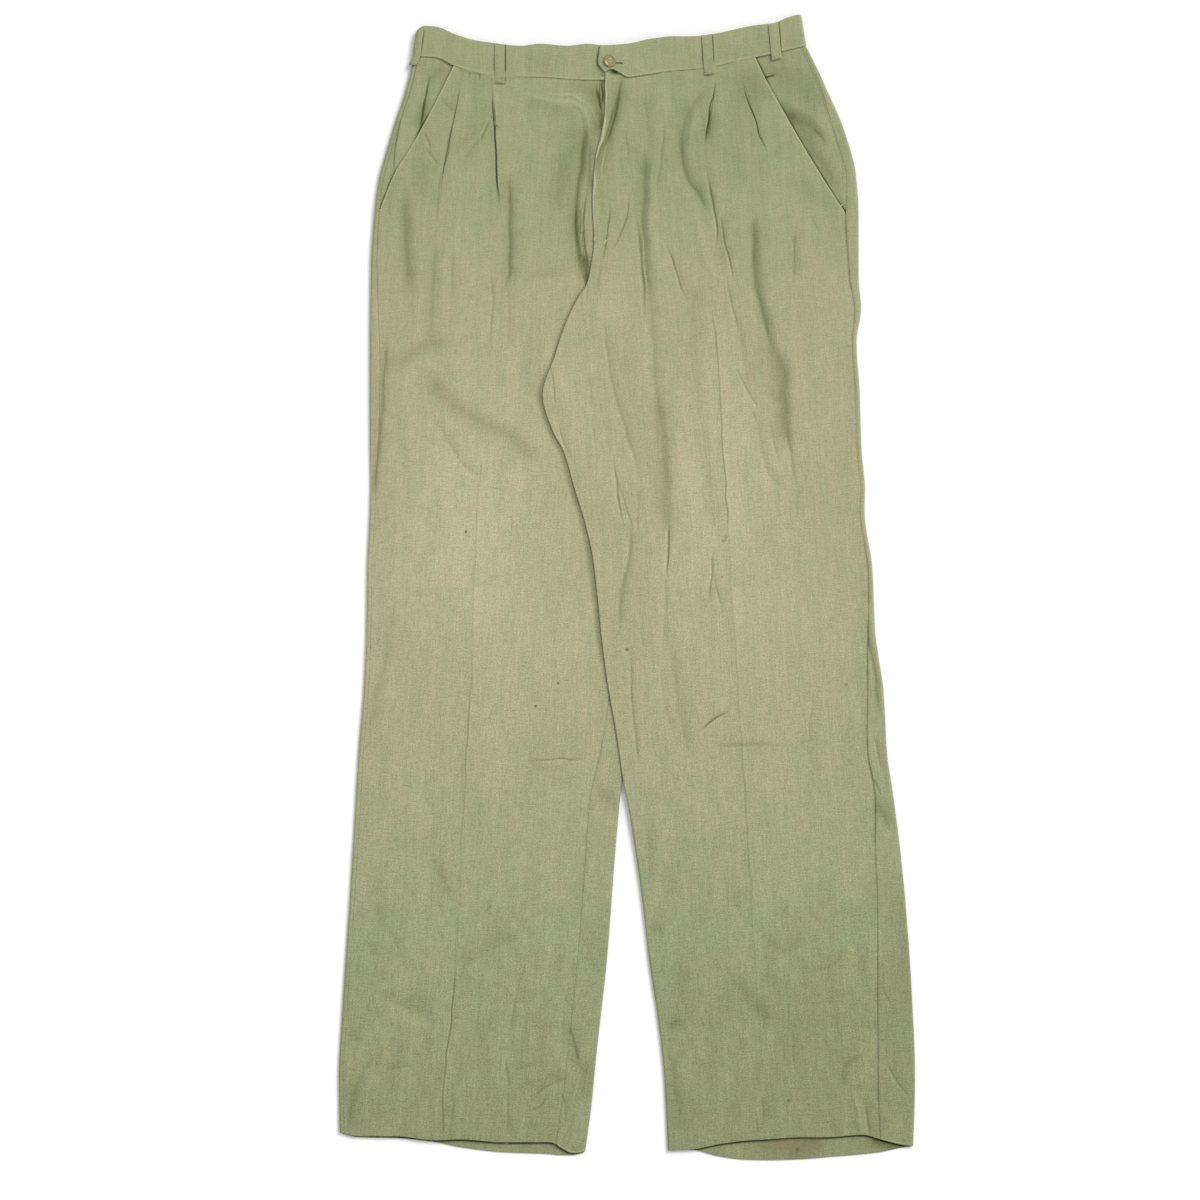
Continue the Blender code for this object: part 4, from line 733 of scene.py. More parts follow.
def wrinkles(x, y, seed):
    """Broad waves that run down the leg, and finer crumple, more of it below the knee."""
    lower = smooth((-100 - y) / 300)
    broad = 0.55 * noise(x, y, 34, 150, seed) + 0.3 * noise(x, y, 15, 70, seed + 1)
    fine = 0.12 * noise(x, y, 7, 26, seed + 2) + (0.05 + 0.1 * lower) * noise(x, y, 9, 11, seed + 3)
    bend_x, bend_y = 9 * noise(x, y, 30, 30, seed + 7), 9 * noise(x, y, 30, 30, seed + 8)
    crests = 1 - 2 * np.abs(noise(x + bend_x, y + bend_y, 21, 34, seed + 4))
    slant = 1 - 2 * np.abs(noise(0.8 * x + 0.6 * y + bend_x, 0.8 * y - 0.6 * x + bend_y, 13, 27, seed + 9))
    return broad * (1 - 0.4 * lower) + fine + (0.1 + 0.25 * lower) * crests + (0.05 + 0.2 * lower) * slant


def right_cover(y):
    """x beyond which the right front lies flat under the left leg, or meets its own inner fold."""
    return np.minimum(left_fold(y) - FRONT_LAP, under_edge(y) - EDGE_ROOM)


def right_base(x, y):
    start = right_fold(y) + EDGE_ROOM
    u = (x - start) / (right_cover(y) - start)
    return rest_level(y) + puff_level(y) * hump(u), crumple_share(u)


def fold_shadow(x, y):
    """How dark the right leg is where the left leg's inner fold shades it."""
    away = np.maximum(left_fold(y) - x, 0)
    reach = 2.5 + 2.6 * smooth((235 - y) / 50) - 2.6 * smooth((-20 - y) / 100) + 0.5 * noise(x, y, 60, 18, 93)
    amount = 0.62 * smooth((318 - y) / 30) * smooth((y + 190) / 90)
    return amount * np.exp(-((away / reach) ** 4)) * (0.45 + 0.55 * smooth(away / 2.4))


def left_over(x, y):
    """1 where the left leg lies over the right one or over the fly, 0 well beside them."""
    reach = mix(REACH, 80, smooth((y - 440) / 60))
    return 1 - smooth((x - under_edge(y)) / reach)


def turned_level(y):
    """Height of the left leg's turned edge: on the right front, or at the waist on the underlap."""
    return mix(rest_level(y), BAND_TOP, smooth((y - TURN_LEVEL_FROM) / TURN_LEVEL_RUN)) + LIE


def left_base(x, y):
    start = left_fold(y) + EDGE_ROOM
    u = (x - start) / (left_fold_outer(y) - EDGE_ROOM - start)
    over = left_over(x, y)
    room = mix(FOLD_ROOM, FLY_ROOM, smooth((y - 300) / 40))
    level = mix(rest_level(y), turned_level(y) + room, over)
    return level + puff_level(y) * hump(u) * (1 - OVER_FLAT * over), crumple_share(u)


def waist_rise(x, y):
    """The backs lie higher beside the waist seam, where belt loops are under them."""
    share = (y - WAIST_REACH) / (waist_seam_line(x) - WAIST_REACH)
    return BACK_RISE * np.clip((share - 0.62) / 0.24, 0, 1)


def leg_lift(x, y):
    """Underside of the left back: raised where the right leg is under it."""
    lift = (rest_level(CROTCH_Y) + LIE) * (1 - smooth((x - under_edge(y)) / RAMP))
    above = SEAT_LIFT_SHARE * (1 - smooth((y - SEAT_FOLD_Y) / SEAT_LIFT_RUN))
    below = mix(SEAT_LIFT_SHARE, 1.0, smooth((SEAT_FOLD_Y - y) / (SEAT_FOLD_Y - WRAP_END)))
    return lift * np.where(y > SEAT_FOLD_Y, above, below)


def left_floor(x, y):
    return waist_rise(x, y) + leg_lift(x, y)


def left_turned(x, y):
    """Underside of the cloth that is folded under along the left leg's inner fold."""
    return np.where(y >= CROTCH_Y, turned_level(y), leg_lift(x, y))


Hip = namedtuple("Hip", "leg side fold inset opening base floor seed")
RIGHT = Hip("right", -1, right_fold, right_inset, right_opening, right_base, waist_rise, 11)
LEFT = Hip("left", 1, left_fold_outer, left_inset, left_opening, left_base, left_floor, 21)


def top_of(hip, x, y, pleat_weights=None):
    """(height, painted shading) of a leg's upper layer."""
    base, free = hip.base(x, y)
    dz, tone = creases(CREASES[hip.leg] + PRESSED[hip.leg], x, y)
    dz = dz + wrinkles(x, y, hip.seed)
    if hip.leg == "right":
        tone = tone + fold_shadow(x, y)
    if pleat_weights is not None:
        for pleat, weight in zip(PLEAT_EDGES[hip.leg], pleat_weights):
            strength = pleat_strength(pleat, x, y)
            away = np.abs(x - PLEAT_LINES[pleat.line](y))
            dz = dz + pleat.height * strength * weight * np.exp(-away / 24)
            # shade painted in the groove along a pleat's edge
            groove = np.exp(-((away / 1.3) ** 2))
            tone = tone + pleat.tone * strength * groove * (weight < 0.7)
    height = base + np.minimum(dz, 0) + free * np.maximum(dz, 0)
    return np.maximum(height, over_slider(x, y)) if hip.leg == "left" else height, tone


def over_slider(x, y):
    """The lowest the fly's cloth may lie over the zip slider, falling away beside it."""
    low, high = (np.array(corner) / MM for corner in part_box("zip_slider"))
    beside_x = np.maximum(np.maximum(low[0] - x, x - high[0]), 0)
    beside_y = np.maximum(np.maximum(low[1] - y, y - high[1]), 0)
    return high[2] + CLOTH + 0.35 - 0.5 * np.hypot(beside_x, beside_y)


def pleat_strength(pleat, x, y):
    """0 where a pleat is stitched down or has died out, 1 between."""
    from_seam = waist_seam_line(x) - y
    open_share = mix(0.35, 1.0, smooth((from_seam - pleat.stitched + 6) / 10))
    return open_share * smooth((y - pleat.bottom) / pleat.fade)


# ---- strips: grids of points with what the cloth needs at each ----

Strip = namedtuple("Strip", "x y z thick dip tone way")    # way: sense of the weave where it turns under


def strip(x, y, z, thick=CLOTH, dip=0.0, tone=0.0, way=0.0):
    shape = np.broadcast(x, y, z).shape
    return Strip(*(np.broadcast_to(part, shape).astype(float) for part in (x, y, z, thick, dip, tone, way)))


def each(part, change):
    """A strip, or rows, with every one of its fields changed."""
    return type(part)(*(change(field) for field in part))


def beside(*strips):
    """Strips that share their rows, joined column by column."""
    return Strip(*(np.concatenate(parts, axis=1) for parts in zip(*strips)))


def hem_share(rows, x, leg, under):
    """(thickness, dip) of the turned-up hem, with its edge rounded."""
    hem = mix(HEM_LINES[leg, "upper"](x), HEM_LINES[leg, "lower"](x), under)
    left = (1 - rows.hem) * (HEM_REACH - hem) + np.where(rows.hem > 0, 0, 1e3)
    thick = mix(CLOTH, HEM_CLOTH, smooth((HEM_DEPTH + 1 - left) / 3))
    radius = HEM_CLOTH / 2
    inset = np.clip(radius - left, 0, radius)
    return thick, 0.8 * (radius - np.sqrt(radius ** 2 - inset ** 2))


def tuck_dip(x, y, corner, depth):
    """How far the cloth dives under the waistband at the seam."""
    return depth * smooth((y - waist_seam(x, corner) + 1.6) / 2.4)


def seam_dip(distance, depth=0.45, reach=1.6):
    """Pulls the cloth in beside a sewn edge."""
    return depth * np.exp(-((distance / reach) ** 2))


def seam_strength(hip, y):
    """How plainly a side seam shows: on the left leg from the hip to the knee, faintly elsewhere."""
    if hip.side < 0:
        return 0.3 * smooth((y - 260) / 60)
    shown = smooth((y + 330) / 120) * (1 - 0.6 * smooth(y / 60) * smooth((300 - y) / 60))
    return 0.12 + 0.88 * shown * (1 - 0.75 * smooth((y - 384) / 12))


def upper(rows, hip, x, pleat_weights=None, edge=None, stitch_edge=True):
    """A strip of a leg's upper layer.  edge is the x of a sewn edge, where the cloth is pulled in."""
    y = row_y(rows, x, hip.leg)
    z, tone = top_of(hip, x, y, pleat_weights)
    thick, dip = hem_share(rows, x, hip.leg, 0.0)
    over = left_over(x, y) if hip.leg == "left" else 0.0
    dip = dip + tuck_dip(x, y, 1.0 if hip.leg == "left" else 0.0, mix(1.2, 0.7, over))
    if edge is not None:
        gather = seam_strength(hip, y) * (1 + 0.5 * noise(x, y, 50, 7, hip.seed + 5))
        dip = dip + seam_dip(x - edge) * np.where(stitch_edge, 0.1 + 0.9 * gather, 0.4)
        # painted shade along a stitched edge, and a painted highlight along a folded one
        at_edge = np.exp(-(((x - edge) / 1.2) ** 2))
        tone = tone + at_edge * np.where(stitch_edge, 0.5 * gather, -0.45)
    near_seam = np.exp(-(((waist_seam_line(x) - y) / 5) ** 2)) * (rows.waist > 0)
    z = z + 0.35 * near_seam * noise(x, y, 6, 60, hip.seed + 6)
    return strip(x, y, z, thick, dip, tone)


def lower(rows, hip, x, name, edge=None):
    """A strip of a leg's lower layer, which faces the surface."""
    y = row_y(rows, x, hip.leg, 1.0)
    dz, tone = creases(CREASES[name], x, y)
    crumple = 0.35 * np.maximum(noise(x, y, 26, 90, hip.seed + 31), 0)
    free = smooth((np.abs(x - hip.fold(y)) - 4) / 12) * (1 - rows.waist)
    z = hip.floor(x, y) + (crumple - dz) * free
    thick, dip = hem_share(rows, x, hip.leg, 1.0)
    dip = dip + tuck_dip(x, y, 0.0, 1.2)
    if edge is not None:
        dip = dip + seam_dip(x - edge)
    return strip(x, y, z, thick, dip, tone, hip.side)


TURN_STEPS = 10


def turn(rows, hip, start, side, top, bottom, under_bottom=1.0):
    """The columns round a fold from the upper layer to the lower, both ends left out."""
    angle = np.pi / 2 - np.pi * np.arange(1, TURN_STEPS)[None, :] / TURN_STEPS
    radius = (top - bottom) / 2
    x = start + side * radius * np.cos(angle)
    under = under_bottom * (1 - np.sin(angle)) / 2
    y = row_y(rows, x, hip.leg, under)
    thick, dip = hem_share(rows, x, hip.leg, under)
    corner = 1.0 if hip.leg == "left" and under_bottom == 0.0 else 0.0
    dip = dip + tuck_dip(x, y, corner, 0.5)
    return strip(x, y, (top + bottom) / 2 + radius * np.sin(angle), thick, dip, 0.0, side)


def height_only(hip):
    return lambda x, y: top_of(hip, x, y)[0]


def fold_start(rows, hip, line, side, top, bottom):
    """x where a fold begins to turn, and the heights of its two layers there."""
    fold = meet(rows, line, hip.leg)
    y = row_y(rows, fold, hip.leg)
    start = fold - side * (top(fold, y) - bottom(fold, y)) / 2
    y = row_y(rows, start, hip.leg)
    return start, top(start, y), bottom(start, y)


def side_line(hip):
    return lambda y: hip.fold(y) - hip.side * hip.inset(y)


# ---- panels ----

EDGE_COLUMNS = np.array([0.0, 0.5, 1.2, 2.2])     # distances in from a sewn or folded edge


def front_strip(rows, hip, inner):
    """A front from its opening or side seam to an inner x, with the pleats' folded edges in it."""
    side_x = meet(rows, side_line(hip), hip.leg)
    open_x = meet(rows, hip.opening, hip.leg)
    above = row_y(rows, open_x, hip.leg) > POCKET_END
    outer = np.where(above, open_x, side_x)
    pieces = [outer - hip.side * EDGE_COLUMNS[None, :]]
    weights = [[np.zeros((1, len(EDGE_COLUMNS)))] * 2]
    out = np.array([p.out for p in LIP])[None, :]
    high = np.array([p.high for p in LIP])[None, :]
    even = np.linspace(out.max(), out.min(), len(LIP))[None, :]
    start = pieces[0][:, -1:]
    counts = (int(36 / FRONT_GRID), int(54 / FRONT_GRID))
    for n, pleat in enumerate(PLEAT_EDGES[hip.leg]):
        line = meet(rows, PLEAT_LINES[pleat.line], hip.leg)
        y = row_y(rows, line, hip.leg)
        strength = smooth(pleat_strength(pleat, line, y) * 1.6 - 0.3)
        first = line + hip.side * out.max()
        pieces.append(across(start, first, counts[n] + 2)[:, 1:-1])
        pieces.append(line + hip.side * mix(even, out, strength))
        done = [np.ones((1, 1)) if k < n else np.zeros((1, 1)) for k in range(2)]
        weights.append([np.full((1, counts[n]), part[0, 0]) for part in done])
        spread = mix(np.linspace(0, 1, len(LIP))[None, :], high, strength)
        weights.append([spread if k == n else np.full((1, len(LIP)), done[k][0, 0]) for k in range(2)])
        start = pieces[-1][:, -1:]
    last = int(104 / FRONT_GRID)
    closing = 1 - (1 - np.linspace(0, 1, last + 1)[None, 1:]) ** 1.25
    pieces.append(mix(start, inner, closing))
    weights.append([np.ones((1, last))] * 2)
    x = np.concatenate(pieces, axis=1)
    full = [np.concatenate([np.broadcast_to(w[k], (x.shape[0], w[k].shape[1])) for w in weights], axis=1)
            for k in range(2)]
    return upper(rows, hip, x, full, outer, ~above)


def front_right_strip(rows):
    inner = meet(rows, right_inner, "right")
    body = front_strip(rows, RIGHT, inner)
    pull = seam_dip(body.x - inner) * smooth((-60 - body.y) / 50) * (1 - 0.6 * smooth((-300 - body.y) / 80))
    # painted shade where the inseam pulls the cloth in
    return body._replace(dip=body.dip + pull, tone=body.tone + 0.35 * pull)


def front_left_strip(rows):
    start, top, bottom = fold_start(rows, LEFT, left_fold, -1, height_only(LEFT), left_turned)
    body = front_strip(rows, LEFT, start)
    fold = turn(rows, LEFT, start, -1, top, bottom, 0.0)
    x = across(start, meet(rows, left_fold, "left") + TURN_UNDER, 5)
    y = row_y(rows, x, "left")
    thick, dip = hem_share(rows, x, "left", 0.0)
    return beside(body, fold, strip(x, y, left_turned(x, y), np.minimum(thick, 1.0), 0.3 * dip, 0.0, -1.0))


BACK_WIDTH = 200.0     # of a back at its narrower places, for the number of its columns
NO_EDGE = 1e3          # an edge so far off that it has no effect


def back_right_strips(rows):
    """The right back as a main grid, and the grid that wraps round the inner fold below the seat."""
    start, top, bottom = fold_start(rows, RIGHT, right_fold, -1, height_only(RIGHT), waist_rise)
    seam = meet(rows, side_line(RIGHT), "right") - CLOSE_GAP
    rim = upper(rows, RIGHT, across(seam, start, 4), None, seam)
    fold = turn(rows, RIGHT, start, -1, top, bottom)
    in_start, in_top, in_bottom = fold_start(rows, RIGHT, under_edge, 1, right_inner_top, waist_rise)
    above = rows.y > SEAT_FOLD_Y
    centre = meet(rows, under_edge, "right", 1.0) - GAP / 2
    end = np.where(above, centre, in_start)
    x = across(start, end, int(BACK_WIDTH / BACK_GRID))
    body = lower(rows, RIGHT, x, "right_back", np.where(above, end, NO_EDGE))
    main = beside(rim, fold, body)
    keep = (rows.y <= SEAT_FOLD_Y)[:, 0]
    part = each(rows, lambda field: field[keep])
    in_start, in_top, in_bottom = in_start[keep], in_top[keep], in_bottom[keep]
    wrap = each(turn(part, RIGHT, in_start, 1, in_top, in_bottom), np.fliplr)
    wrap = wrap._replace(way=-wrap.way)
    inseam = meet(part, right_inner, "right") + CLOSE_GAP
    x = mix(in_start, inseam, np.array([0, 0.12, 0.3, 0.5, 0.7, 0.84, 0.93, 0.98, 1.0])[None, :])
    y = row_y(part, x, "right")
    z = right_inner_top(x, y)
    thick, dip = hem_share(part, x, "right", 0.0)
    low = 1 - 0.6 * smooth((-300 - y) / 80)
    dip = dip + seam_dip(x - inseam) * low
    at_seam = np.exp(-(((x - inseam) / 1.2) ** 2))
    # painted shade of the creases, of the left leg's fold and along the inseam
    tone = creases(CREASES["right"], x, y)[1] + fold_shadow(x, y) + 0.2 * low * at_seam
    inner = strip(x, y, z, thick, dip, tone, -1.0)
    return main, beside(each(main, lambda field: field[keep, -1:]), wrap, inner), keep


def right_inner_top(x, y):
    """Top of the right leg near its inner fold: lower just where the fold begins at the seat."""
    low = SEAT_FOLD_DROP * smooth((y - WRAP_END) / (SEAT_FOLD_Y - WRAP_END))
    base, _ = right_base(x, np.minimum(y, CROTCH_Y))
    shown = smooth((-20 - y) / 60)
    return mix(base - low, top_of(RIGHT, x, y)[0], shown)


def back_left_strips(rows):
    """The left back as a main grid, and the grid that runs on over the right leg to the inseam."""
    start, top, bottom = fold_start(rows, LEFT, left_fold_outer, 1, height_only(LEFT), left_floor)
    seam = meet(rows, side_line(LEFT), "left") + CLOSE_GAP
    rim = upper(rows, LEFT, across(seam, start, 14), None, seam)
    fold = turn(rows, LEFT, start, 1, top, bottom)
    end = meet(rows, lambda y: left_fold(y) + TURN_UNDER + GAP, "left", 1.0)
    inner = meet(rows, under_edge, "left", 1.0) + GAP / 2
    inner = np.where(rows.y <= CROTCH_Y, np.maximum(inner, end + INSEAM_ROOM), inner)
    above = rows.y > SEAT_FOLD_Y
    x = across(start, inner, int(BACK_WIDTH / BACK_GRID))
    body = lower(rows, LEFT, x, "left_back", np.where(above, inner, NO_EDGE))
    main = beside(rim, fold, body)
    keep = (rows.y <= WRAP_END)[:, 0]
    part = each(rows, lambda field: field[keep])
    x = mix(inner[keep], end[keep], np.linspace(0, 1, 12)[None, :])
    y = row_y(part, x, "left", 1.0)
    thick, dip = hem_share(part, x, "left", 1.0)
    over = strip(x, y, left_floor(x, y), thick, dip, 0.0, 1.0)
    return main, over, keep


# ---- from strips to closed shells ----

Cloth = namedtuple("Cloth", "points quads thick dip tone weave")


def weave_of(part, axis, start=None):
    """Places on the cut cloth: across the grain along each row, and down the grain."""
    dx, dz = np.diff(part.x, axis=1), np.diff(part.z, axis=1)
    steps = np.where(part.way[:, 1:] == 0, dx, part.way[:, 1:] * np.hypot(dx, dz))
    u = np.concatenate([np.zeros((part.x.shape[0], 1)), np.cumsum(steps, axis=1)], axis=1)
    if start is None:
        start = part.x[:, :1] - axis(part.y[:, :1])
    return np.stack([u + start, part.y], axis=-1)


def grid_quads(index):
    a, b, c, d = index[:-1, :-1], index[:-1, 1:], index[1:, 1:], index[1:, :-1]
    return np.stack([a, b, c, d], axis=-1).reshape(-1, 4)


def cloth_of(main, axis, extra=None, extra_rows=None):
    """A cloth from a main grid, and a further grid that begins on some rows of its last column."""
    rows, columns = main.x.shape
    index = np.arange(rows * columns).reshape(rows, columns)
    weave = weave_of(main, axis)
    parts = [each(main, np.ravel)]
    weaves = [weave.reshape(-1, 2)]
    quads = [grid_quads(index)]
    if extra is not None:
        more = each(extra, lambda field: field[:, 1:])
        count = more.x.size
        own = np.arange(rows * columns, rows * columns + count).reshape(more.x.shape)
        further = weave_of(extra, axis, weave[extra_rows, -1:, 0])
        parts.append(each(more, np.ravel))
        weaves.append(further[:, 1:].reshape(-1, 2))
        quads.append(grid_quads(np.concatenate([index[extra_rows, -1:], own], axis=1)))
    whole = Strip(*(np.concatenate(p) for p in zip(*parts)))
    points = np.stack([whole.x, whole.y, whole.z], axis=-1)
    return Cloth(points, np.concatenate(quads), whole.thick, whole.dip, whole.tone, np.concatenate(weaves))


def vertex_normals(points, quads):
    a, b, c, d = (points[quads[:, k]] for k in range(4))
    faces = np.cross(c - a, d - b)
    normals = np.zeros_like(points)
    for k in range(4):
        np.add.at(normals, quads[:, k], faces)
    return normals / np.maximum(np.linalg.norm(normals, axis=1, keepdims=True), 1e-12)


def free_edges(quads):
    """Edges with a face on one side only, in the direction of that face."""
    edges = np.concatenate([quads[:, [k, (k + 1) % 4]] for k in range(4)])
    _, place, count = np.unique(np.sort(edges, axis=1), axis=0, return_index=True, return_counts=True)
    return edges[place[count == 1]]


# How far the linen goes from green to beige down the leg, and in patches
Bleach = namedtuple("Bleach", "y share")
BEIGE_DOWN_LEG = table(
    Bleach, (560, 0.34), (440, 0.30), (370, 0.38), (300, 0.52), (240, 0.60), (120, 0.66), (0, 0.68),
    (-80, 0.62), (-180, 0.50), (-280, 0.38), (-370, 0.24), (-460, 0.14), (-560, 0.02),
)
BleachSpot = namedtuple("BleachSpot", "x y wide long share")
BEIGE_SPOTS = table(
    BleachSpot, (-147, 90, 55, 130, 0.26), (-160, 20, 50, 70, 0.08), (92, 130, 52, 120, 0.26),
    (-165, 340, 30, 50, 0.10), (70, 340, 26, 50, 0.04), (-15, 290, 18, 60, 0.12),
    (250, -120, 30, 260, -0.14), (-55, 90, 26, 120, 0.04), (225, 110, 28, 190, -0.07),
    (285, -390, 26, 180, -0.24), (190, -410, 40, 90, -0.14), (60, -400, 40, 90, -0.10),
    (-28, -345, 18, 70, -0.16), (-150, -140, 50, 60, 0.12), (-50, 200, 30, 40, 0.12),
    (-215, 350, 30, 50, 0.08), (150, 505, 50, 22, -0.12), (110, -100, 50, 70, 0.08),
)


def beige_share(x, y):
    """How far the linen goes from green to beige: most at the thighs and knees, least at the hems."""
    down = curve(BEIGE_DOWN_LEG, "y", "share")(y)
    spots = sum(
        spot.share * np.exp(-(((x - spot.x) / spot.wide) ** 2) - ((y - spot.y) / spot.long) ** 2)
        for spot in BEIGE_SPOTS
    )
    cloudy = 0.05 * noise(x, y, 30, 70, 71) + 0.02 * noise(x, y, 9, 30, 72)
    return np.clip(down + spots + cloudy, 0, 1)


HEM_LINE_BELOW = -541.0
LIT_ABOVE = 3.0        # painted shade lines show on the cloth above this height, and at the hems


def hem_shade(hems):
    """The painted shade on the lower hem: a dark line right under the upper hem's edge."""
    path = tuple((hem.x, hem.upper - 0.9) for hem in hems)
    return table(Crease, (0, 3.2, 1.5, path, -1))


# Painted shade lines on the band, beside the belt loops and along the overlap's end
BAND_SHADE_LINES = {
    "waistband_right": table(
        Crease,
        (0, 2.4, 0.96, ((-203.2, 557), (-204.4, 545), (-206, 535), (-207.4, 529)), 0),
        (0, 2.4, 1.2, ((-121.7, 546), (-121.6, 526), (-121.8, 506)), 0),
        (0, 2.4, 0.48, ((-132.8, 532), (-132.6, 508)), 0),
        (0, 2.2, 0.56, ((-27.6, 541), (-30.2, 526), (-27.6, 520), (-25, 515), (-23, 512)), 0),
    ),
    "waistband_left": table(
        Crease,
        (0, 2.4, 0.72, ((74.2, 552), (75.8, 518)), 0),
        (0, 2.4, 1.04, ((85.2, 555), (86.6, 520)), 0),
        (0, 2.4, 0.72, ((140.8, 564), (144, 532)), 0),
        (0, 2.4, 1.12, ((151.4, 568), (154, 533)), 0),
    ),
}
# Painted shade in the hollow between the overlap's tip and the band's lower edge
HOLLOW_SHADE = table(
    Crease,
    (0, 6, 1.36, ((-17.3, 517.4), (-13.6, 516.8), (-9.6, 513.6)), 0),
    (0, 6, 1.28, ((-16.4, 514.8), (-13, 514.2), (-10.4, 514.2)), 0),
    (0, 3, 0.64, ((-9.5, 513.4), (-5, 510.8), (2, 509)), 0),
)
TIP_SHADE = table(Crease, (0, 5, 1.04, ((-26, 512.4), (-22.5, 511)), 0))


def lines_on(name):
    """The table of fine painted shade lines that a piece shows."""
    leg = name.split("_")[-1]
    if name.startswith("front"):
        return CREASES[leg] + PRESSED[leg] + (HOLLOW_SHADE if leg == "left" else TIP_SHADE)
    if name.startswith("back"):
        return CREASES[leg] + PRESSED[leg] + hem_shade(RIGHT_HEM if leg == "right" else LEFT_HEM)
    if name.startswith("pocket_facing"):
        return CREASES[leg + "_facing"]
    return BAND_SHADE_LINES.get(name, ()) + (HOLLOW_SHADE + TIP_SHADE if name == "waistband_right" else ())


def closed_mesh(name, cloth, facing=1):
    """A closed thin shell: the outer skin, an inner one a thickness inside it, and a rim."""
    points, quads = cloth.points, cloth.quads
    normals = vertex_normals(points, quads)
    if normals[0, 2] * facing < 0:
        quads, normals = quads[:, ::-1], -normals
    outer = points - normals * cloth.dip[:, None]
    inner = points - normals * np.maximum(cloth.thick - cloth.dip, 0.2)[:, None]
    count = len(points)
    edges = free_edges(quads)
    rim = np.stack([edges[:, 1], edges[:, 0], edges[:, 0] + count, edges[:, 1] + count], axis=-1)
    faces = np.concatenate([quads, quads[:, ::-1] + count, rim])
    mesh = bpy.data.meshes.new(name)
    mesh.from_pydata((np.concatenate([outer, inner]) * MM).tolist(), [], faces.tolist())
    mesh.polygons.foreach_set("use_smooth", np.ones(len(faces), bool))
    x, y = points[:, 0], points[:, 1]
    # painted shading, and how far the linen goes from green to beige
    fields = {"tone": cloth.tone, "fade": beige_share(x, y)}
    lines = line_fields(lines_on(name), x, y, (points[:, 2] > LIT_ABOVE) | (y < HEM_LINE_BELOW))
    for n, channel in enumerate(lines):
        fields.update((f"{part}_{n}", values) for part, values in zip(LINE_PARTS, channel))
    for key, values in fields.items():
        attribute = mesh.attributes.new(key, "FLOAT", "POINT")
        attribute.data.foreach_set("value", np.tile(values, 2).astype(np.float32))
    weave = np.concatenate([cloth.weave * MM, np.zeros((count, 1))], axis=1)
    attribute = mesh.attributes.new("weave", "FLOAT_VECTOR", "POINT")
    attribute.data.foreach_set("vector", np.tile(weave, (2, 1)).astype(np.float32).reshape(-1))
    lay_uv(mesh, weave[:, :2], len(quads), count)
    return mesh


def lay_uv(mesh, weave, skin_faces, count):
    """A flat map: the outer skin on its left half, the inner one on its right."""
    low, high = weave.min(0), weave.max(0)
    flat = (weave - low) / (high - low)
    outer = flat * (0.48, 0.98) + 0.01
    vertex = np.zeros(len(mesh.loops), int)
    mesh.loops.foreach_get("vertex_index", vertex)
    uv = outer[vertex % count]
    loops = np.arange(len(vertex))
    inside = (loops >= skin_faces * 4) & (loops < skin_faces * 8)
    uv[inside, 0] += 0.5
    layer = mesh.uv_layers.new(name="OFBake")
    layer.data.foreach_set("uv", uv.astype(np.float32).reshape(-1))


def add_piece(name, mesh, material, replaces=()):
    piece = bpy.data.objects.new(name, mesh)
    bpy.context.scene.collection.objects.link(piece)
    mesh.materials.append(material)
    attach(piece, "root")
    if replaces:
        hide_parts(*replaces)
    return piece


def add_cloth(name, cloth, material, facing=1):
    """A cloth piece, which takes the place of the frame's node of that name."""
    return add_piece("cloth_" + name, closed_mesh(name, cloth, facing), material, [name])


def leg_axis(hip):
    """The grain line of a leg, which follows its pressed crease."""
    top, bottom = (-129.0, -183.0) if hip.side < 0 else (80.0, 142.0)
    return lambda y: mix(bottom, top, (y + 551) / 966)


def no_axis(y):
    """The grain line of a strip that follows none."""
    return 0.0 * y


def build_panels():
    rows = make_rows()
    made = {}
    for hip, build in ((RIGHT, front_right_strip), (LEFT, front_left_strip)):
        name = "front_" + hip.leg
        made[name] = add_cloth(name, cloth_of(build(rows), leg_axis(hip)), linen_material(name))
    for hip, build in ((RIGHT, back_right_strips), (LEFT, back_left_strips)):
        name = "back_" + hip.leg
        main, extra, keep = build(rows)
        made[name] = add_cloth(name, cloth_of(main, leg_axis(hip), extra, keep), linen_material(name))
    return made


# ---- pocket facings ----

# How much shade is painted on the facing right beside the front's edge, down the opening
Shade = namedtuple("Shade", "y share")
OPENING_SHADES = {
    "right": table(
        Shade,
        (530, 0.45), (505, 0.4), (476, 0.2), (468, 1.1), (456, 1.8), (447, 0.3),
        (424, 0.15), (414, 0.7), (375, 0.7),
    ),
    "left": table(
        Shade,
        (535, 1.2), (509, 1.4), (500, 0.6), (470, 0.9), (440, 1.2), (385, 1.0),
        (375, 0.6),
    ),
}


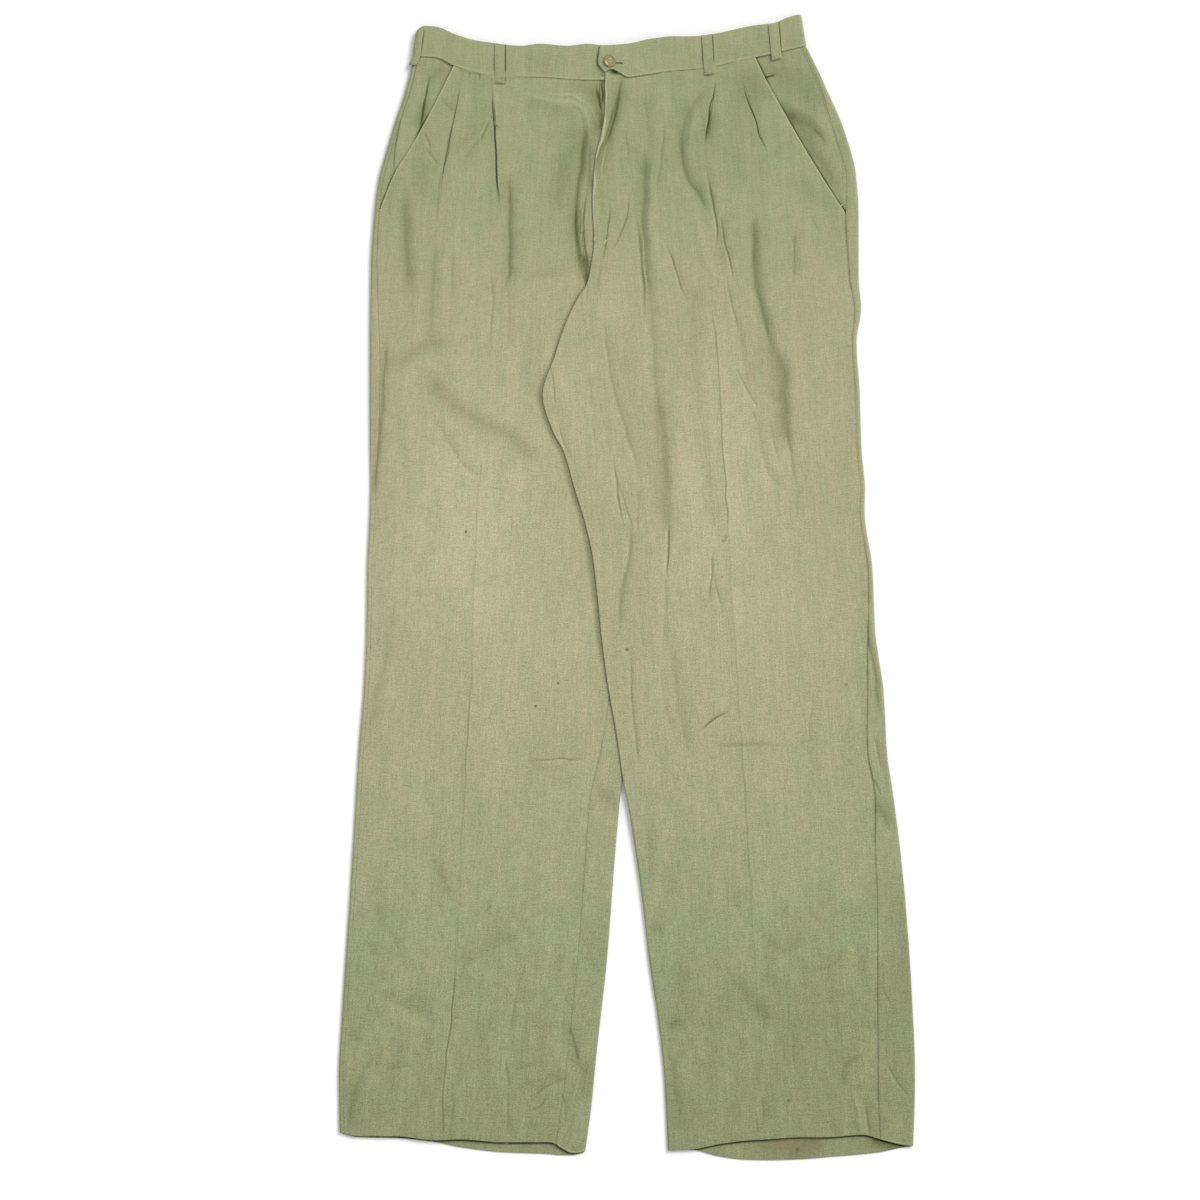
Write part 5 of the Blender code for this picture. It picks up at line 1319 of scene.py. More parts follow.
def facing_strip(rows, hip):
    """The hip piece that shows beyond a slant opening and runs on under the front."""
    seam = meet(rows, side_line(hip), hip.leg)
    edge = meet(rows, hip.opening, hip.leg)
    lap = edge - hip.side * FACING_LAP * mix(0.45, 1.0, rows.waist)
    share = np.concatenate([np.linspace(0, 1, 18), np.linspace(1, 2, 14)[1:]])[None, :]
    x = np.where(share <= 1, mix(seam, edge, share), mix(edge, lap, share - 1))
    y = row_y(rows, x, hip.leg)
    height, _ = hip.base(x, y)
    edge_y = row_y(rows, edge, hip.leg)
    at_edge = hip.base(edge, edge_y)[0]
    dz, tone = creases(CREASES[hip.leg + "_facing"], x, y)
    drop = FACING_DROP * smooth(share / 0.9)
    z = np.minimum(height, at_edge) - drop + dz * smooth(share * 6)
    z = z + 0.25 * noise(x, y, 16, 40, hip.seed + 8) * smooth(share * 5) * smooth((1.1 - share) * 5)
    dip = seam_dip(x - seam) + tuck_dip(x, y, 1.0 if hip.side > 0 else 0.0, 1.2)
    # painted shade beside the front's edge, and along the side seam
    shade = curve(OPENING_SHADES[hip.leg], "y", "share")(y) * (1 + 0.3 * noise(x, y, 40, 6, hip.seed + 9))
    under = shade * np.exp(-(((x - edge) * hip.side - 0.4) / 1.5) ** 2)
    tone = tone + under + 0.1 * np.exp(-(((x - seam) / 1.2) ** 2))
    return strip(x, y, z, CLOTH, dip, tone)


def build_facings():
    rows = make_rows(low=POCKET_END)
    made = {}
    for hip in (RIGHT, LEFT):
        name = "pocket_facing_" + hip.leg
        made[name] = add_cloth(name, cloth_of(facing_strip(rows, hip), leg_axis(hip)), linen_material(name))
    return made


# ---- waistband ----

Station = namedtuple("Station", "low high z nx nz under")


def overlap_lift(x):
    return OVERLAP_LIFT * (1 - smooth((x - 14) / 34))


Nose = namedtuple("Nose", "share out")
NOSE_LINE = table(Nose, (0, 0), (0.15, -3), (0.33, -5.3), (0.6, -3.4), (1, 0))
nose_line = curve(NOSE_LINE, "share", "out")
NOSE_X = -22.0         # of the overlap's lower tip, which meets the fly edge
NOSE_REACH = 9.0
HOLLOW_LIFT = 10.5     # beside the tip the band's lower edge is folded up by this
TIP_DROP = 2.5


def band_seam(x, overlap):
    """Lower edge of the band.  On the overlap it rises to a fold beside the tip at the fly edge."""
    raised = HOLLOW_LIFT * (1 - smooth((x + 16) / 19)) - TIP_DROP * (1 - smooth((x - NOSE_X) / 5))
    return waist_seam_line(x) + overlap * raised


def band_path(side, count=84):
    """Stations round one half of the band: along the front, round the side fold, along the back."""
    end = UNDERLAP_END if side < 0 else NOSE_X
    end_lean = 0.0 if side < 0 else OVERLAP_END - NOSE_X
    hip = RIGHT if side < 0 else LEFT
    top_row = Rows(column([WAIST_REACH]), column([1.0]), column([0.0]))
    start = float(meet(top_row, side_line(hip), hip.leg)[0, 0]) + side * 0.8
    radius = (BAND_TOP - BACK_RISE) / 2

    def lean(x, free_end, at_end):
        return mix(at_end, FOLD_LEAN[side], np.clip((x - free_end) / (start - free_end), 0, 1))

    path = []
    ends = np.array([0.0, 0.002, 0.005, 0.01])
    for x in mix(end, start, np.concatenate([ends, np.linspace(0.016, 1, count)])):
        lift = overlap_lift(x) if side > 0 else 0.0
        path.append(Station(x, x + lean(x, end, end_lean), BAND_TOP + lift, 0.0, 1.0, 0.0))
    for n in range(1, TURN_STEPS):
        angle = math.pi / 2 - math.pi * n / TURN_STEPS
        x = start + side * radius * math.cos(angle)
        z = (BAND_TOP + BACK_RISE) / 2 + radius * math.sin(angle)
        path.append(Station(x, x + FOLD_LEAN[side], z, side * math.cos(angle), math.sin(angle),
                            (1 - math.sin(angle)) / 2))
    for x in np.linspace(start, CENTRE_BACK + side * GAP / 2, count):
        path.append(Station(x, x + lean(x, CENTRE_BACK, 0.0), BACK_RISE, 0.0, -1.0, 1.0))
    return path


def band_point(station, share, side):
    """(x, y) on the band at a share of its height over the seam."""
    overlap = 1.0 if side > 0 and station.under == 0.0 else 0.0
    low = band_seam(station.low, overlap) + 0.1
    high = waist_top(station.high) - 1.5 * station.under
    nose = overlap * nose_line(share) * math.exp(-((station.low - NOSE_X) / NOSE_REACH) ** 2)
    return mix(station.low, station.high, share) + nose, mix(low, high, share)


BAND_SHARES = np.concatenate(
    [[0, 0.004, 0.012, 0.024], np.linspace(0.05, 0.95, 20), [0.976, 0.988, 0.996, 1]]
)


def round_dip(distance, radius):
    """Rounds an edge: how far in the skin lies at a distance from it."""
    inset = np.clip(radius - distance, 0, radius)
    return 0.8 * (radius - np.sqrt(radius ** 2 - inset ** 2))


def band_strip(side):
    rows = []
    path = band_path(side)
    for station in path:
        x, y = band_point(station, BAND_SHARES, side)
        depth = waist_top(station.high) - waist_seam(station.low, 0.0)
        edge = np.minimum(BAND_SHARES, 1 - BAND_SHARES) * depth
        belly = 0.5 * np.sin(np.pi * BAND_SHARES) ** 0.5 * (1 - abs(station.nx)) * (station.under < 0.5)
        ripple = 0.22 * noise(x, y, 24, 60, 41) + 0.12 * noise(x, y, 9, 16, 42)
        pucker = 0.3 * np.exp(-((BAND_SHARES * depth / 4) ** 2)) * noise(x, y, 5, 60, 43)
        lift = belly + (ripple + pucker) * (station.under == 0.0)
        dip = round_dip(edge, BAND / 2)
        # painted shade along the band's lower edge, and a painted highlight just above it on the front
        tone = 0.3 * np.exp(-((BAND_SHARES * depth / 0.8) ** 2)) * (1 + 0.6 * noise(x, y, 4, 60, 44))
        tone = tone - 0.3 * np.exp(-(((BAND_SHARES * depth - 1.8) / 0.9) ** 2)) * (station.under == 0.0)
        place = (x + station.nx * lift, y, station.z + station.nz * lift)
        rows.append((*place, np.full(x.shape, BAND), dip, tone, np.full(x.shape, float(side))))
    parts = [np.array(part) for part in zip(*rows)]
    band = Strip(*parts)
    from_end = np.abs(band.x - band.x[:1])
    front = (np.array([s.under for s in path]) == 0.0)[:, None]
    end_dip = round_dip(from_end, BAND / 2) * front
    return band._replace(dip=np.maximum(band.dip, end_dip))


def build_waistband():
    made = {}
    for side, name in ((-1, "waistband_right"), (1, "waistband_left")):
        turned = each(band_strip(side), np.transpose)
        made[name] = add_cloth(name, cloth_of(turned, no_axis), linen_material(name))
    cut_buttonhole(made["waistband_left"])
    return made


def add_object(name, data):
    made = bpy.data.objects.new(name, data)
    bpy.context.scene.collection.objects.link(made)
    return made


def object_from(name, shape):
    mesh = bpy.data.meshes.new(name)
    shape.to_mesh(mesh)
    shape.free()
    return add_object(name, mesh)


def carved(body, cutters):
    """The mesh of a body with its cutters taken out of it.  The cutters are removed."""
    for cutter in cutters:
        modifier = body.modifiers.new(cutter.name, "BOOLEAN")
        modifier.object = cutter
        modifier.operation = "DIFFERENCE"
        modifier.solver = "EXACT"
    bpy.context.view_layer.update()
    mesh = bpy.data.meshes.new_from_object(body.evaluated_get(bpy.context.evaluated_depsgraph_get()))
    body.modifiers.clear()
    for cutter in cutters:
        bpy.data.objects.remove(cutter)
    return mesh


def cut_buttonhole(band):
    """A slit through the overlap from under the button to beside it."""
    shape = bmesh.new()
    low, high = BUTTON_X - 2.0, BUTTON_X + 13.2
    y = BUTTON_Y - 2.6
    outline = [(low, y - 0.2), (high - 1, y - 0.55), (high, y), (high - 1, y + 0.55), (low, y + 0.2)]
    bottom = [shape.verts.new((px * MM, py * MM, (BAND_TOP + 0.3) * MM)) for px, py in outline]
    grown = bmesh.ops.extrude_face_region(shape, geom=[shape.faces.new(bottom)])
    moved = [v for v in grown["geom"] if isinstance(v, bmesh.types.BMVert)]
    bmesh.ops.translate(shape, verts=moved, vec=(0, 0, 8 * MM))
    bmesh.ops.recalc_face_normals(shape, faces=shape.faces)
    whole = band.data
    band.data = carved(band, [object_from("slit_cutter", shape)])
    bpy.data.meshes.remove(whole)


# ---- belt loops ----

Loop = namedtuple("Loop", "name side x lean tail")     # lean: how far its foot lies beside its top
FRONT_LOOPS = table(
    Loop,
    ("belt_loop_front_2", -1, -127.3, 0.0, 7.4),
    ("belt_loop_front_3", 1, 80.6, 2.2, 6.8),
    ("belt_loop_front_4", 1, 147.4, 3.0, 6.5),
)
BACK_LOOPS = table(
    Loop,
    ("belt_loop_back_1", -1, -105, 0.0, 6.0),
    ("belt_loop_back_2", 1, -3, 0.0, 6.0),
    ("belt_loop_back_3", 1, 100, 0.0, 6.0),
)
Arch = namedtuple("Arch", "level rise")
LOOP_LINE = table(
    Arch, (-1.0, 0.15), (-0.85, 0.45), (-0.4, 0.5), (0.0, 0.55), (0.12, 0.9), (0.35, 1.25), (0.6, 1.25),
    (0.85, 0.8), (0.95, 0.3), (1.0, -0.5),
)
LOOP_EDGE = np.array([0.0, 0.12, 0.35, 0.8])


def loop_columns():
    half = LOOP_WIDTH / 2
    middle = np.linspace(-half + 1.6, half - 1.6, 7)
    return np.concatenate([-half + LOOP_EDGE, middle, (half - LOOP_EDGE)[::-1]])


def front_loop_strip(loop):
    """A strip over the band, sewn in at its top edge, with a short tail on the front."""
    corner = 1.0 if loop.side > 0 else 0.0
    rise = curve(LOOP_LINE, "level", "rise")
    levels = np.concatenate([np.linspace(-1, 0, 10)[:-1], np.linspace(0, 0.985, 30)])[:, None]
    across_x = loop_columns()[None, :]
    x = loop.x + across_x + loop.lean * (0.5 - np.maximum(levels, -0.2))
    seam = waist_seam(x, corner)
    y = np.where(levels < 0, seam + levels * loop.tail, mix(seam, waist_top(x), levels))
    base = BAND_TOP + (overlap_lift(loop.x) if loop.side > 0 else 0.0)
    z = base + LOOP_CLOTH * 0.6 + LOOP_ARCH * rise(levels) + 0.25 * np.cos(across_x / LOOP_WIDTH * np.pi)
    z = z + 0.1 * noise(x, y, 5, 9, 51)
    edge = LOOP_WIDTH / 2 - np.abs(across_x)
    foot = (levels + 1) * loop.tail
    foot = np.where(levels < 0, foot, 9)
    dip = np.maximum(round_dip(edge, LOOP_CLOTH / 2), round_dip(foot, LOOP_CLOTH / 2))
    # painted shade at the edge of the foot, and along the loop's folded edges
    tone = 0.25 * np.exp(-((foot - 0.2) / 0.7) ** 2) * (levels < 0)
    fold_line_shade = 0.12 * np.exp(-((edge - 1.9) / 0.5) ** 2)
    return strip(x, y, z, LOOP_CLOTH, dip, tone + fold_line_shade)


def back_loop_strip(loop):
    levels = np.concatenate([np.linspace(-1, 0, 8)[:-1], np.linspace(0, 0.93, 16)])[:, None]
    across_x = loop_columns()[None, :]
    x = loop.x + across_x
    seam = waist_seam(x, 0.0)
    y = np.where(levels < 0, seam + levels * loop.tail, mix(seam, waist_top(x), levels))
    dip = round_dip(LOOP_WIDTH / 2 - np.abs(across_x), 0.5)
    return strip(x, y, BACK_RISE - GAP - 1.05, 1.0, dip)


def side_loop_strip():
    """The loop at the right side fold, half on the front and half turned under with the band."""
    path = band_path(-1)
    first = next(n for n, s in enumerate(path) if s.under > 0)
    near_fold = path[first - 1]
    steps = (3.6, 3.5, 3.25, 2.9, 1.9, 0.8)
    stations = [near_fold._replace(low=near_fold.low + d, high=near_fold.high + d) for d in steps]
    stations += path[first:first + TURN_STEPS - 4]
    levels = np.concatenate([np.linspace(-0.26, 0, 9)[:-1], np.linspace(0, 0.985, 26)])
    rise = curve(LOOP_LINE, "level", "rise")
    rows = []
    for level in levels:
        row = []
        for s in stations:
            x, y = band_point(s, level, -1)
            out = LOOP_CLOTH * 0.7 + 0.8 * LOOP_ARCH * float(rise(max(level, 0.0))) + 0.2
            spread = 10.0 * max(0.06 - level, 0.0)
            row.append((float(x) + s.nx * out - spread, float(y), s.z + s.nz * out))
        rows.append(row)
    points = np.array(rows)
    edge = np.array([0, 0.12, 0.4, 0.8] + [9] * (len(stations) - 4))[None, :]
    foot = (levels[:, None] + 0.26) * 25
    dip = np.maximum(round_dip(edge, LOOP_CLOTH / 2), round_dip(foot, LOOP_CLOTH / 2))
    # painted shade at the edge of the loop's foot
    tone = 0.25 * np.exp(-((foot - 0.2) / 0.7) ** 2)
    return strip(points[..., 0], points[..., 1], points[..., 2], LOOP_CLOTH, dip, tone)


def build_loops():
    material = linen_material("belt_loops")
    jobs = [(loop.name, front_loop_strip(loop), 1) for loop in FRONT_LOOPS]
    jobs += [(loop.name, back_loop_strip(loop), -1) for loop in BACK_LOOPS]
    jobs.append(("belt_loop_front_1", side_loop_strip(), 1))
    return {name: add_cloth(name, cloth_of(part, no_axis), material, facing) for name, part, facing in jobs}


# ---- stitching ----

STITCH_LENGTH = 2.3
STITCH_GAP = 0.8
STITCH_RADIUS = 0.24
TACK_RADIUS = 0.2


def stitch_shape():
    """A low, rounded stitch lying along X, as (points, faces)."""
    rings = ((-0.5, 0.0), (-0.42, 0.75), (0.0, 1.0), (0.42, 0.75), (0.5, 0.0))
    points, faces = [], []
    sides = 6
    for along, wide in rings:
        for k in range(sides):
            angle = 2 * math.pi * k / sides
            points.append((along, max(wide, 0.2) * math.cos(angle), max(wide, 0.2) * math.sin(angle)))
    for r in range(len(rings) - 1):
        for k in range(sides):
            a, b = r * sides + k, r * sides + (k + 1) % sides
            faces.append((a, b, b + sides, a + sides))
    faces.append(tuple(reversed(range(sides))))
    faces.append(tuple(range((len(rings) - 1) * sides, len(rings) * sides)))
    return np.array(points), faces


def stitches_along(path, height, length=STITCH_LENGTH, gap=STITCH_GAP, sink=0.05):
    """(centre, direction, length) of each stitch along a path of (x, y), lying on a height."""
    path = np.array(path, float)
    steps = np.hypot(*np.diff(path, axis=0).T)
    at = np.concatenate([[0], np.cumsum(steps)])
    count = int(at[-1] / (length + gap))
    places = (np.arange(count) + 0.5) * at[-1] / count
    x, y = np.interp(places, at, path[:, 0]), np.interp(places, at, path[:, 1])
    ahead_x, ahead_y = np.interp(places + 0.5, at, path[:, 0]), np.interp(places + 0.5, at, path[:, 1])
    z = height(x, y) - sink
    z_ahead = height(ahead_x, ahead_y) - sink
    direction = np.stack([ahead_x - x, ahead_y - y, z_ahead - z], axis=-1)
    moving = np.linalg.norm(direction, axis=1) > 1e-6
    return np.stack([x, y, z], axis=-1)[moving], direction[moving], length


def stitch_mesh(name, runs, radius=STITCH_RADIUS):
    """One mesh of all the stitches of several runs."""
    shape, shape_faces = stitch_shape()
    points, faces = [], []
    for centres, directions, length in runs:
        for centre, ahead in zip(centres, directions):
            ahead = ahead / np.linalg.norm(ahead)
            aside = np.cross((0, 0, 1), ahead)
            aside = aside / np.linalg.norm(aside)
            up = np.cross(ahead, aside)
            base = len(points)
            for p in shape:
                points.append(centre + ahead * p[0] * length + (aside * p[1] + up * p[2] * 0.8) * radius)
            faces += [tuple(base + k for k in face) for face in shape_faces]
    mesh = bpy.data.meshes.new(name)
    mesh.from_pydata((np.array(points) * MM).tolist(), [], faces)
    mesh.polygons.foreach_set("use_smooth", np.ones(len(faces), bool))
    return mesh


def top_height(hip):
    return lambda x, y: top_of(hip, np.atleast_1d(x), np.atleast_1d(y))[0]


def level(z):
    return lambda x, y: np.full(np.shape(x), z)


def opening_stitches(hip):
    """A line of stitching just inside the slant opening's folded edge."""
    ys = np.linspace(POCKET_END + 10, float(waist_seam_line(hip.opening(520))) - 3, 60)
    inset = 1.8
    path = [(float(hip.opening(y)) - hip.side * inset, y) for y in ys]
    return stitches_along(path, top_height(hip), 1.9, 1.1, 0.12)


def fly_curve(far):
    """The fly's J-shaped stitching, far from the fly edge at its straight part."""
    points = []
    for y in np.linspace(508, 372, 40):
        points.append((float(left_fold(y)) + far, y))
    x0, y0 = points[-1]
    end_x, end_y = float(left_fold(330)) + 3, 330 - (far - 24) * 0.6
    for t in np.linspace(0, 1, 20)[1:]:
        points.append((mix(x0, end_x, t ** 2.2), mix(y0, end_y, math.sin(t * math.pi / 2))))
    return points


def tack(x, y, dx, dy, height, rows=5, pitch=0.35, lift=0.1):
    """A bar of close stitches, as (centre, direction, length) sets."""
    length = math.hypot(dx, dy)
    sets = []
    for k in range(rows):
        shift = (k - (rows - 1) / 2) * pitch
        cx, cy = x - dy / length * shift, y + dx / length * shift
        z = float(height(np.array([cx]), np.array([cy]))[0]) + lift
        sets.append((np.array([[cx, cy, z]]), np.array([[dx, dy, 0.0]]), length))
    return sets


def build_stitching(thread):
    left_top = top_height(LEFT)
    fly = [stitches_along(fly_curve(34), left_top, 2.2, 0.9, 0.16)]
    fly += tack(-22, 345, 3.0, 5.0, left_top) + tack(-32, 349, 1.5, 5.0, left_top)
    sewn = {"fly_stitching": fly}
    for hip, x, y, lean in ((RIGHT, -247, 377, -0.5), (LEFT, 213.2, 380.5, 5.0)):
        opening = [opening_stitches(hip)]
        sewn["pocket_stitching_" + hip.leg] = opening + tack(x, y, 4.6, lean, top_height(hip), 3, 0.35, 0.3)
    sewn["loop_tacks"] = []
    for loop in FRONT_LOOPS:
        base = BAND_TOP + (overlap_lift(loop.x) if loop.side > 0 else 0.0) + LOOP_CLOTH * 0.6 + 0.75
        seam = float(waist_seam(np.array(float(loop.x)), 1.0 if loop.side > 0 else 0.0))
        x = loop.x + loop.lean * 0.6
        sewn["loop_tacks"] += tack(x, seam - loop.tail * 0.55, LOOP_WIDTH - 2.2, 0.0, level(base), 4, 0.45)
    sewn["hem_tack"] = tack(-119.5, -548, 6.0, -0.3, top_height(RIGHT), 2)
    for name, runs in sewn.items():
        radius = TACK_RADIUS if "tack" in name else STITCH_RADIUS
        add_piece(name, stitch_mesh(name, runs, radius), thread)


# ---- button ----

Turned = namedtuple("Turned", "radius height")
BUTTON_PROFILE = table(
    Turned, (0.0, 0.30), (0.55, 0.16), (0.80, 0.10), (0.93, 0.28), (1.0, 0.52), (0.985, 0.72),
    (0.93, 0.90), (0.86, 0.985), (0.78, 0.97), (0.71, 0.86), (0.64, 0.76), (0.5, 0.72), (0.0, 0.70),
)
HOLE_SPACING = 1.5
HOLE_RADIUS = 0.8
HOLES = [(BUTTON_X + dx * HOLE_SPACING, BUTTON_Y + dy * HOLE_SPACING) for dx in (-1, 1) for dy in (-1, 1)]


def build_button(horn, thread):
    """A turned rim and dish with four holes, and its thread."""
    shape = bmesh.new()
    points = []
    for p in BUTTON_PROFILE:
        place = (p.radius * BUTTON_DIAMETER / 2 * MM, 0, (BUTTON_BOTTOM + p.height * BUTTON_HEIGHT) * MM)
        points.append(shape.verts.new(place))
    edges = [shape.edges.new(pair) for pair in zip(points, points[1:])]
    bmesh.ops.spin(shape, geom=points + edges, cent=(0, 0, 0), axis=(0, 0, 1), angle=2 * math.pi, steps=72,
                   use_merge=True, use_duplicate=False)
    bmesh.ops.remove_doubles(shape, verts=shape.verts, dist=1e-6)
    bmesh.ops.recalc_face_normals(shape, faces=shape.faces)
    bmesh.ops.translate(shape, verts=shape.verts, vec=(BUTTON_X * MM, BUTTON_Y * MM, 0))
    body = object_from("button_body", shape)
    drills = []
    middle = BUTTON_BOTTOM + BUTTON_HEIGHT / 2
    for n, (x, y) in enumerate(HOLES):
        drill = bmesh.new()
        add_post(drill, x, y, HOLE_RADIUS, middle - 4, middle + 4, 20)
        drills.append(object_from(f"drill_{n}", drill))
    mesh = carved(body, drills)
    bpy.data.objects.remove(body)
    mesh.shade_smooth()
    mesh.set_sharp_from_angle(angle=math.radians(40))
    add_piece("horn_waist_button", mesh, horn, ["waist_button"])
    build_button_thread(thread)


def build_button_thread(thread):
    """Strands up through the holes and across the face, and the shank down to the underlap."""
    runs = []
    top = BUTTON_BOTTOM + 0.76 * BUTTON_HEIGHT
    for dy in (-1, 1):
        for k in range(-2, 3):
            y = BUTTON_Y + dy * HOLE_SPACING + k * 0.28
            centre = np.array([[BUTTON_X, y, top + 0.2 - 0.05 * abs(k)]])
            runs.append((centre, np.array([[1.0, 0.04 * k, 0]]), 2 * HOLE_SPACING + 0.9))
    mesh = stitch_mesh("button_thread", runs, 0.22)
    shape = bmesh.new()
    shape.from_mesh(mesh)
    for x, y in HOLES:
        add_post(shape, x, y, 0.5, BUTTON_BOTTOM, top + 0.1)
    add_post(shape, BUTTON_X, BUTTON_Y, 1.1, BAND_TOP + 0.2, BUTTON_BOTTOM + 0.1)
    shape.to_mesh(mesh)
    shape.free()
    mesh.polygons.foreach_set("use_smooth", np.ones(len(mesh.polygons), bool))
    add_piece("waist_button_thread", mesh, thread, ["button_thread"])


def add_post(shape, x, y, radius, low, high, sides=12):
    place = Matrix.Translation((x * MM, y * MM, (low + high) / 2 * MM))
    bmesh.ops.create_cone(shape, cap_ends=True, segments=sides, radius1=radius * MM, radius2=radius * MM,
                          depth=(high - low) * MM, matrix=place)


# ---- materials ----

def srgb(*channels):
    """A colour given as it looks, 0 to 255, as linear values."""
    linear = [((c / 255 + 0.055) / 1.055) ** 2.4 if c > 10 else c / 255 / 12.92 for c in channels]
    return (*linear, 1)


def node(tree, kind, settings=None, **inputs):
    """Adds a node.  An input is named by its socket, or n0, n1 and so on by its place."""
    made = tree.nodes.new(kind)
    for key, value in (settings or {}).items():
        setattr(made, key, value)
    for key, value in inputs.items():
        by_place = key[0] == "n" and key[1:].isdigit()
        socket = made.inputs[int(key[1:]) if by_place else key.replace("_", " ")]
        if isinstance(value, bpy.types.NodeSocket):
            tree.links.new(value, socket)
        else:
            socket.default_value = value
    return made


def math_node(tree, operation, a, b=0.0, clamp=False):
    return node(tree, "ShaderNodeMath", {"operation": operation, "use_clamp": clamp}, n0=a, n1=b).outputs[0]


def product(tree, a, b, clamp=False):
    return math_node(tree, "MULTIPLY", a, b, clamp)


def blend_colours(tree, factor, a, b, kind="MIX"):
    settings = {"data_type": "RGBA", "blend_type": kind, "clamp_factor": True}
    return node(tree, "ShaderNodeMix", settings, n0=factor, n6=a, n7=b).outputs[2]


def tinted(tree, colour, tint):
    return blend_colours(tree, 1.0, colour, tint, "MULTIPLY")


def stretched_noise(tree, vector, scale, detail=2.0, roughness=0.6):
    """Noise with so many cells to the metre along each axis."""
    moved = node(tree, "ShaderNodeVectorMath", {"operation": "MULTIPLY"}, n0=vector, n1=scale)
    return node(tree, "ShaderNodeTexNoise", None, Vector=moved.outputs[0], Scale=1.0, Detail=detail,
                Roughness=roughness).outputs[0]


def centred(tree, value, amount):
    """Noise about 0.5 turned into an offset about 0."""
    return product(tree, math_node(tree, "SUBTRACT", value, 0.5), amount)


def total(tree, *values):
    out = values[0]
    for value in values[1:]:
        out = math_node(tree, "ADD", out, value)
    return out


def position(tree):
    return node(tree, "ShaderNodeNewGeometry").outputs["Position"]


def named(tree, attribute, output="Fac"):
    return node(tree, "ShaderNodeAttribute", {"attribute_name": attribute}).outputs[output]


def new_material(name):
    material = bpy.data.materials.new(name)
    material.use_nodes = True
    tree = material.node_tree
    tree.nodes.clear()
    output = tree.nodes.new("ShaderNodeOutputMaterial")
    shader = tree.nodes.new("ShaderNodeBsdfPrincipled")
    tree.links.new(shader.outputs[0], output.inputs[0])
    return material, tree, shader


def cover(tree, shader, colour, relief, strength, depth):
    """Gives a shader its colour and its fine relief, whose depth is in metres."""
    tree.links.new(colour, shader.inputs["Base Color"])
    bump = node(tree, "ShaderNodeBump", None, Strength=strength, Distance=depth, Height=relief)
    tree.links.new(bump.outputs[0], shader.inputs["Normal"])


def roughen(tree, shader, value, low, high):
    """Roughness that goes from low to high with a value from 0 to 1."""
    rough = node(tree, "ShaderNodeMapRange", None, Value=value, n3=low, n4=high)
    tree.links.new(rough.outputs[0], shader.inputs["Roughness"])


Spot = namedtuple("Spot", "x y radius amount colour")
RUST = srgb(136, 120, 80)
DARK = srgb(98, 100, 66)
PINKISH = srgb(127, 116, 86)
BROWN = srgb(104, 90, 64)
STAIN = srgb(112, 108, 78)
SPOTS = {
    "front_left": table(
        Spot,
        (98.5, 50, 3.0, 0.6, RUST), (96.5, 46.5, 2.6, 0.6, RUST), (95, 10.5, 1.8, 0.6, RUST),
        (87, -3, 9.0, 0.12, RUST), (0, -62, 2.4, 0.9, DARK), (219, -97, 2.4, 0.45, DARK),
        (162, -512.5, 2.6, 0.65, DARK),
    ),
    "front_right": table(
        Spot,
        (-161, 55.5, 1.8, 0.9, DARK), (-91.5, -118.5, 1.8, 0.9, DARK), (-69, -95.5, 1.8, 0.8, DARK),
        (-149, -477.5, 1.8, 0.5, DARK), (-77.5, -549, 4.5, 0.4, RUST),
    ),
    "back_left": table(
        Spot,
        (146, -557, 20.0, 0.45, STAIN), (184, -556, 18.0, 0.55, STAIN), (168, -566, 16.0, 0.5, STAIN),
        (160, -556, 13.0, 0.5, PINKISH), (167, -562, 6.5, 0.5, PINKISH), (170.5, -562, 3.2, 0.7, BROWN),
    ),
}


def spots_over(tree, colour, spots):
    """Small stains with ragged edges."""
    place = position(tree)
    ragged = stretched_noise(tree, place, (420, 420, 0), 3)
    flat = node(tree, "ShaderNodeVectorMath", {"operation": "MULTIPLY"}, n0=place, n1=(1, 1, 0)).outputs[0]
    for spot in spots:
        centre = (spot.x * MM, spot.y * MM, 0)
        away = node(tree, "ShaderNodeVectorMath", {"operation": "DISTANCE"}, n0=flat, n1=centre)
        reach = math_node(tree, "DIVIDE", away.outputs["Value"], spot.radius * MM)
        edge = total(tree, math_node(tree, "SUBTRACT", 1.0, reach), centred(tree, ragged, 1.6))
        share = math_node(tree, "MINIMUM", product(tree, edge, spot.amount * 1.6, True), spot.amount)
        colour = blend_colours(tree, share, colour, spot.colour)
    return colour


LINEN_RAMP = (
    (0.0, srgb(133, 138, 101)), (0.30, srgb(146, 152, 114)), (0.62, srgb(162, 161, 126)),
    (1.0, srgb(180, 173, 139)),
)


# tints of painted shade, of deeper painted shade and of painted highlight
SHADE_TINT = srgb(149, 158, 116)
DEEPER_SHADE_TINT = srgb(128, 136, 100)
HIGHLIGHT_TINT = srgb(214, 214, 178)
RIM_PLACE = 2.1        # line widths from a fine line to its painted highlight rim
# how strong the painted highlight beside a fine line is
RIM_HIGHLIGHT = 0.24


def bell(tree, value):
    """1 where a value is 0, falling to 0 on both sides."""
    return math_node(tree, "EXPONENT", product(tree, product(tree, value, value), -1.0))


def summed_painted_shading(tree, uneven):
    """Painted shading: soft shade in the folds, and fine lines of shade with a highlight on their lit side.
    """
    tone = named(tree, "tone")
    varied = total(tree, uneven, 0.5)
    for n in range(CHANNELS):
        place, dark, rim = (named(tree, f"{part}_{n}") for part in LINE_PARTS)
        lit = product(tree, product(tree, bell(tree, total(tree, place, RIM_PLACE)), RIM_HIGHLIGHT), rim)
        shape = math_node(tree, "SUBTRACT", bell(tree, place), lit)
        tone = total(tree, tone, product(tree, shape, product(tree, dark, varied)))
    return tone


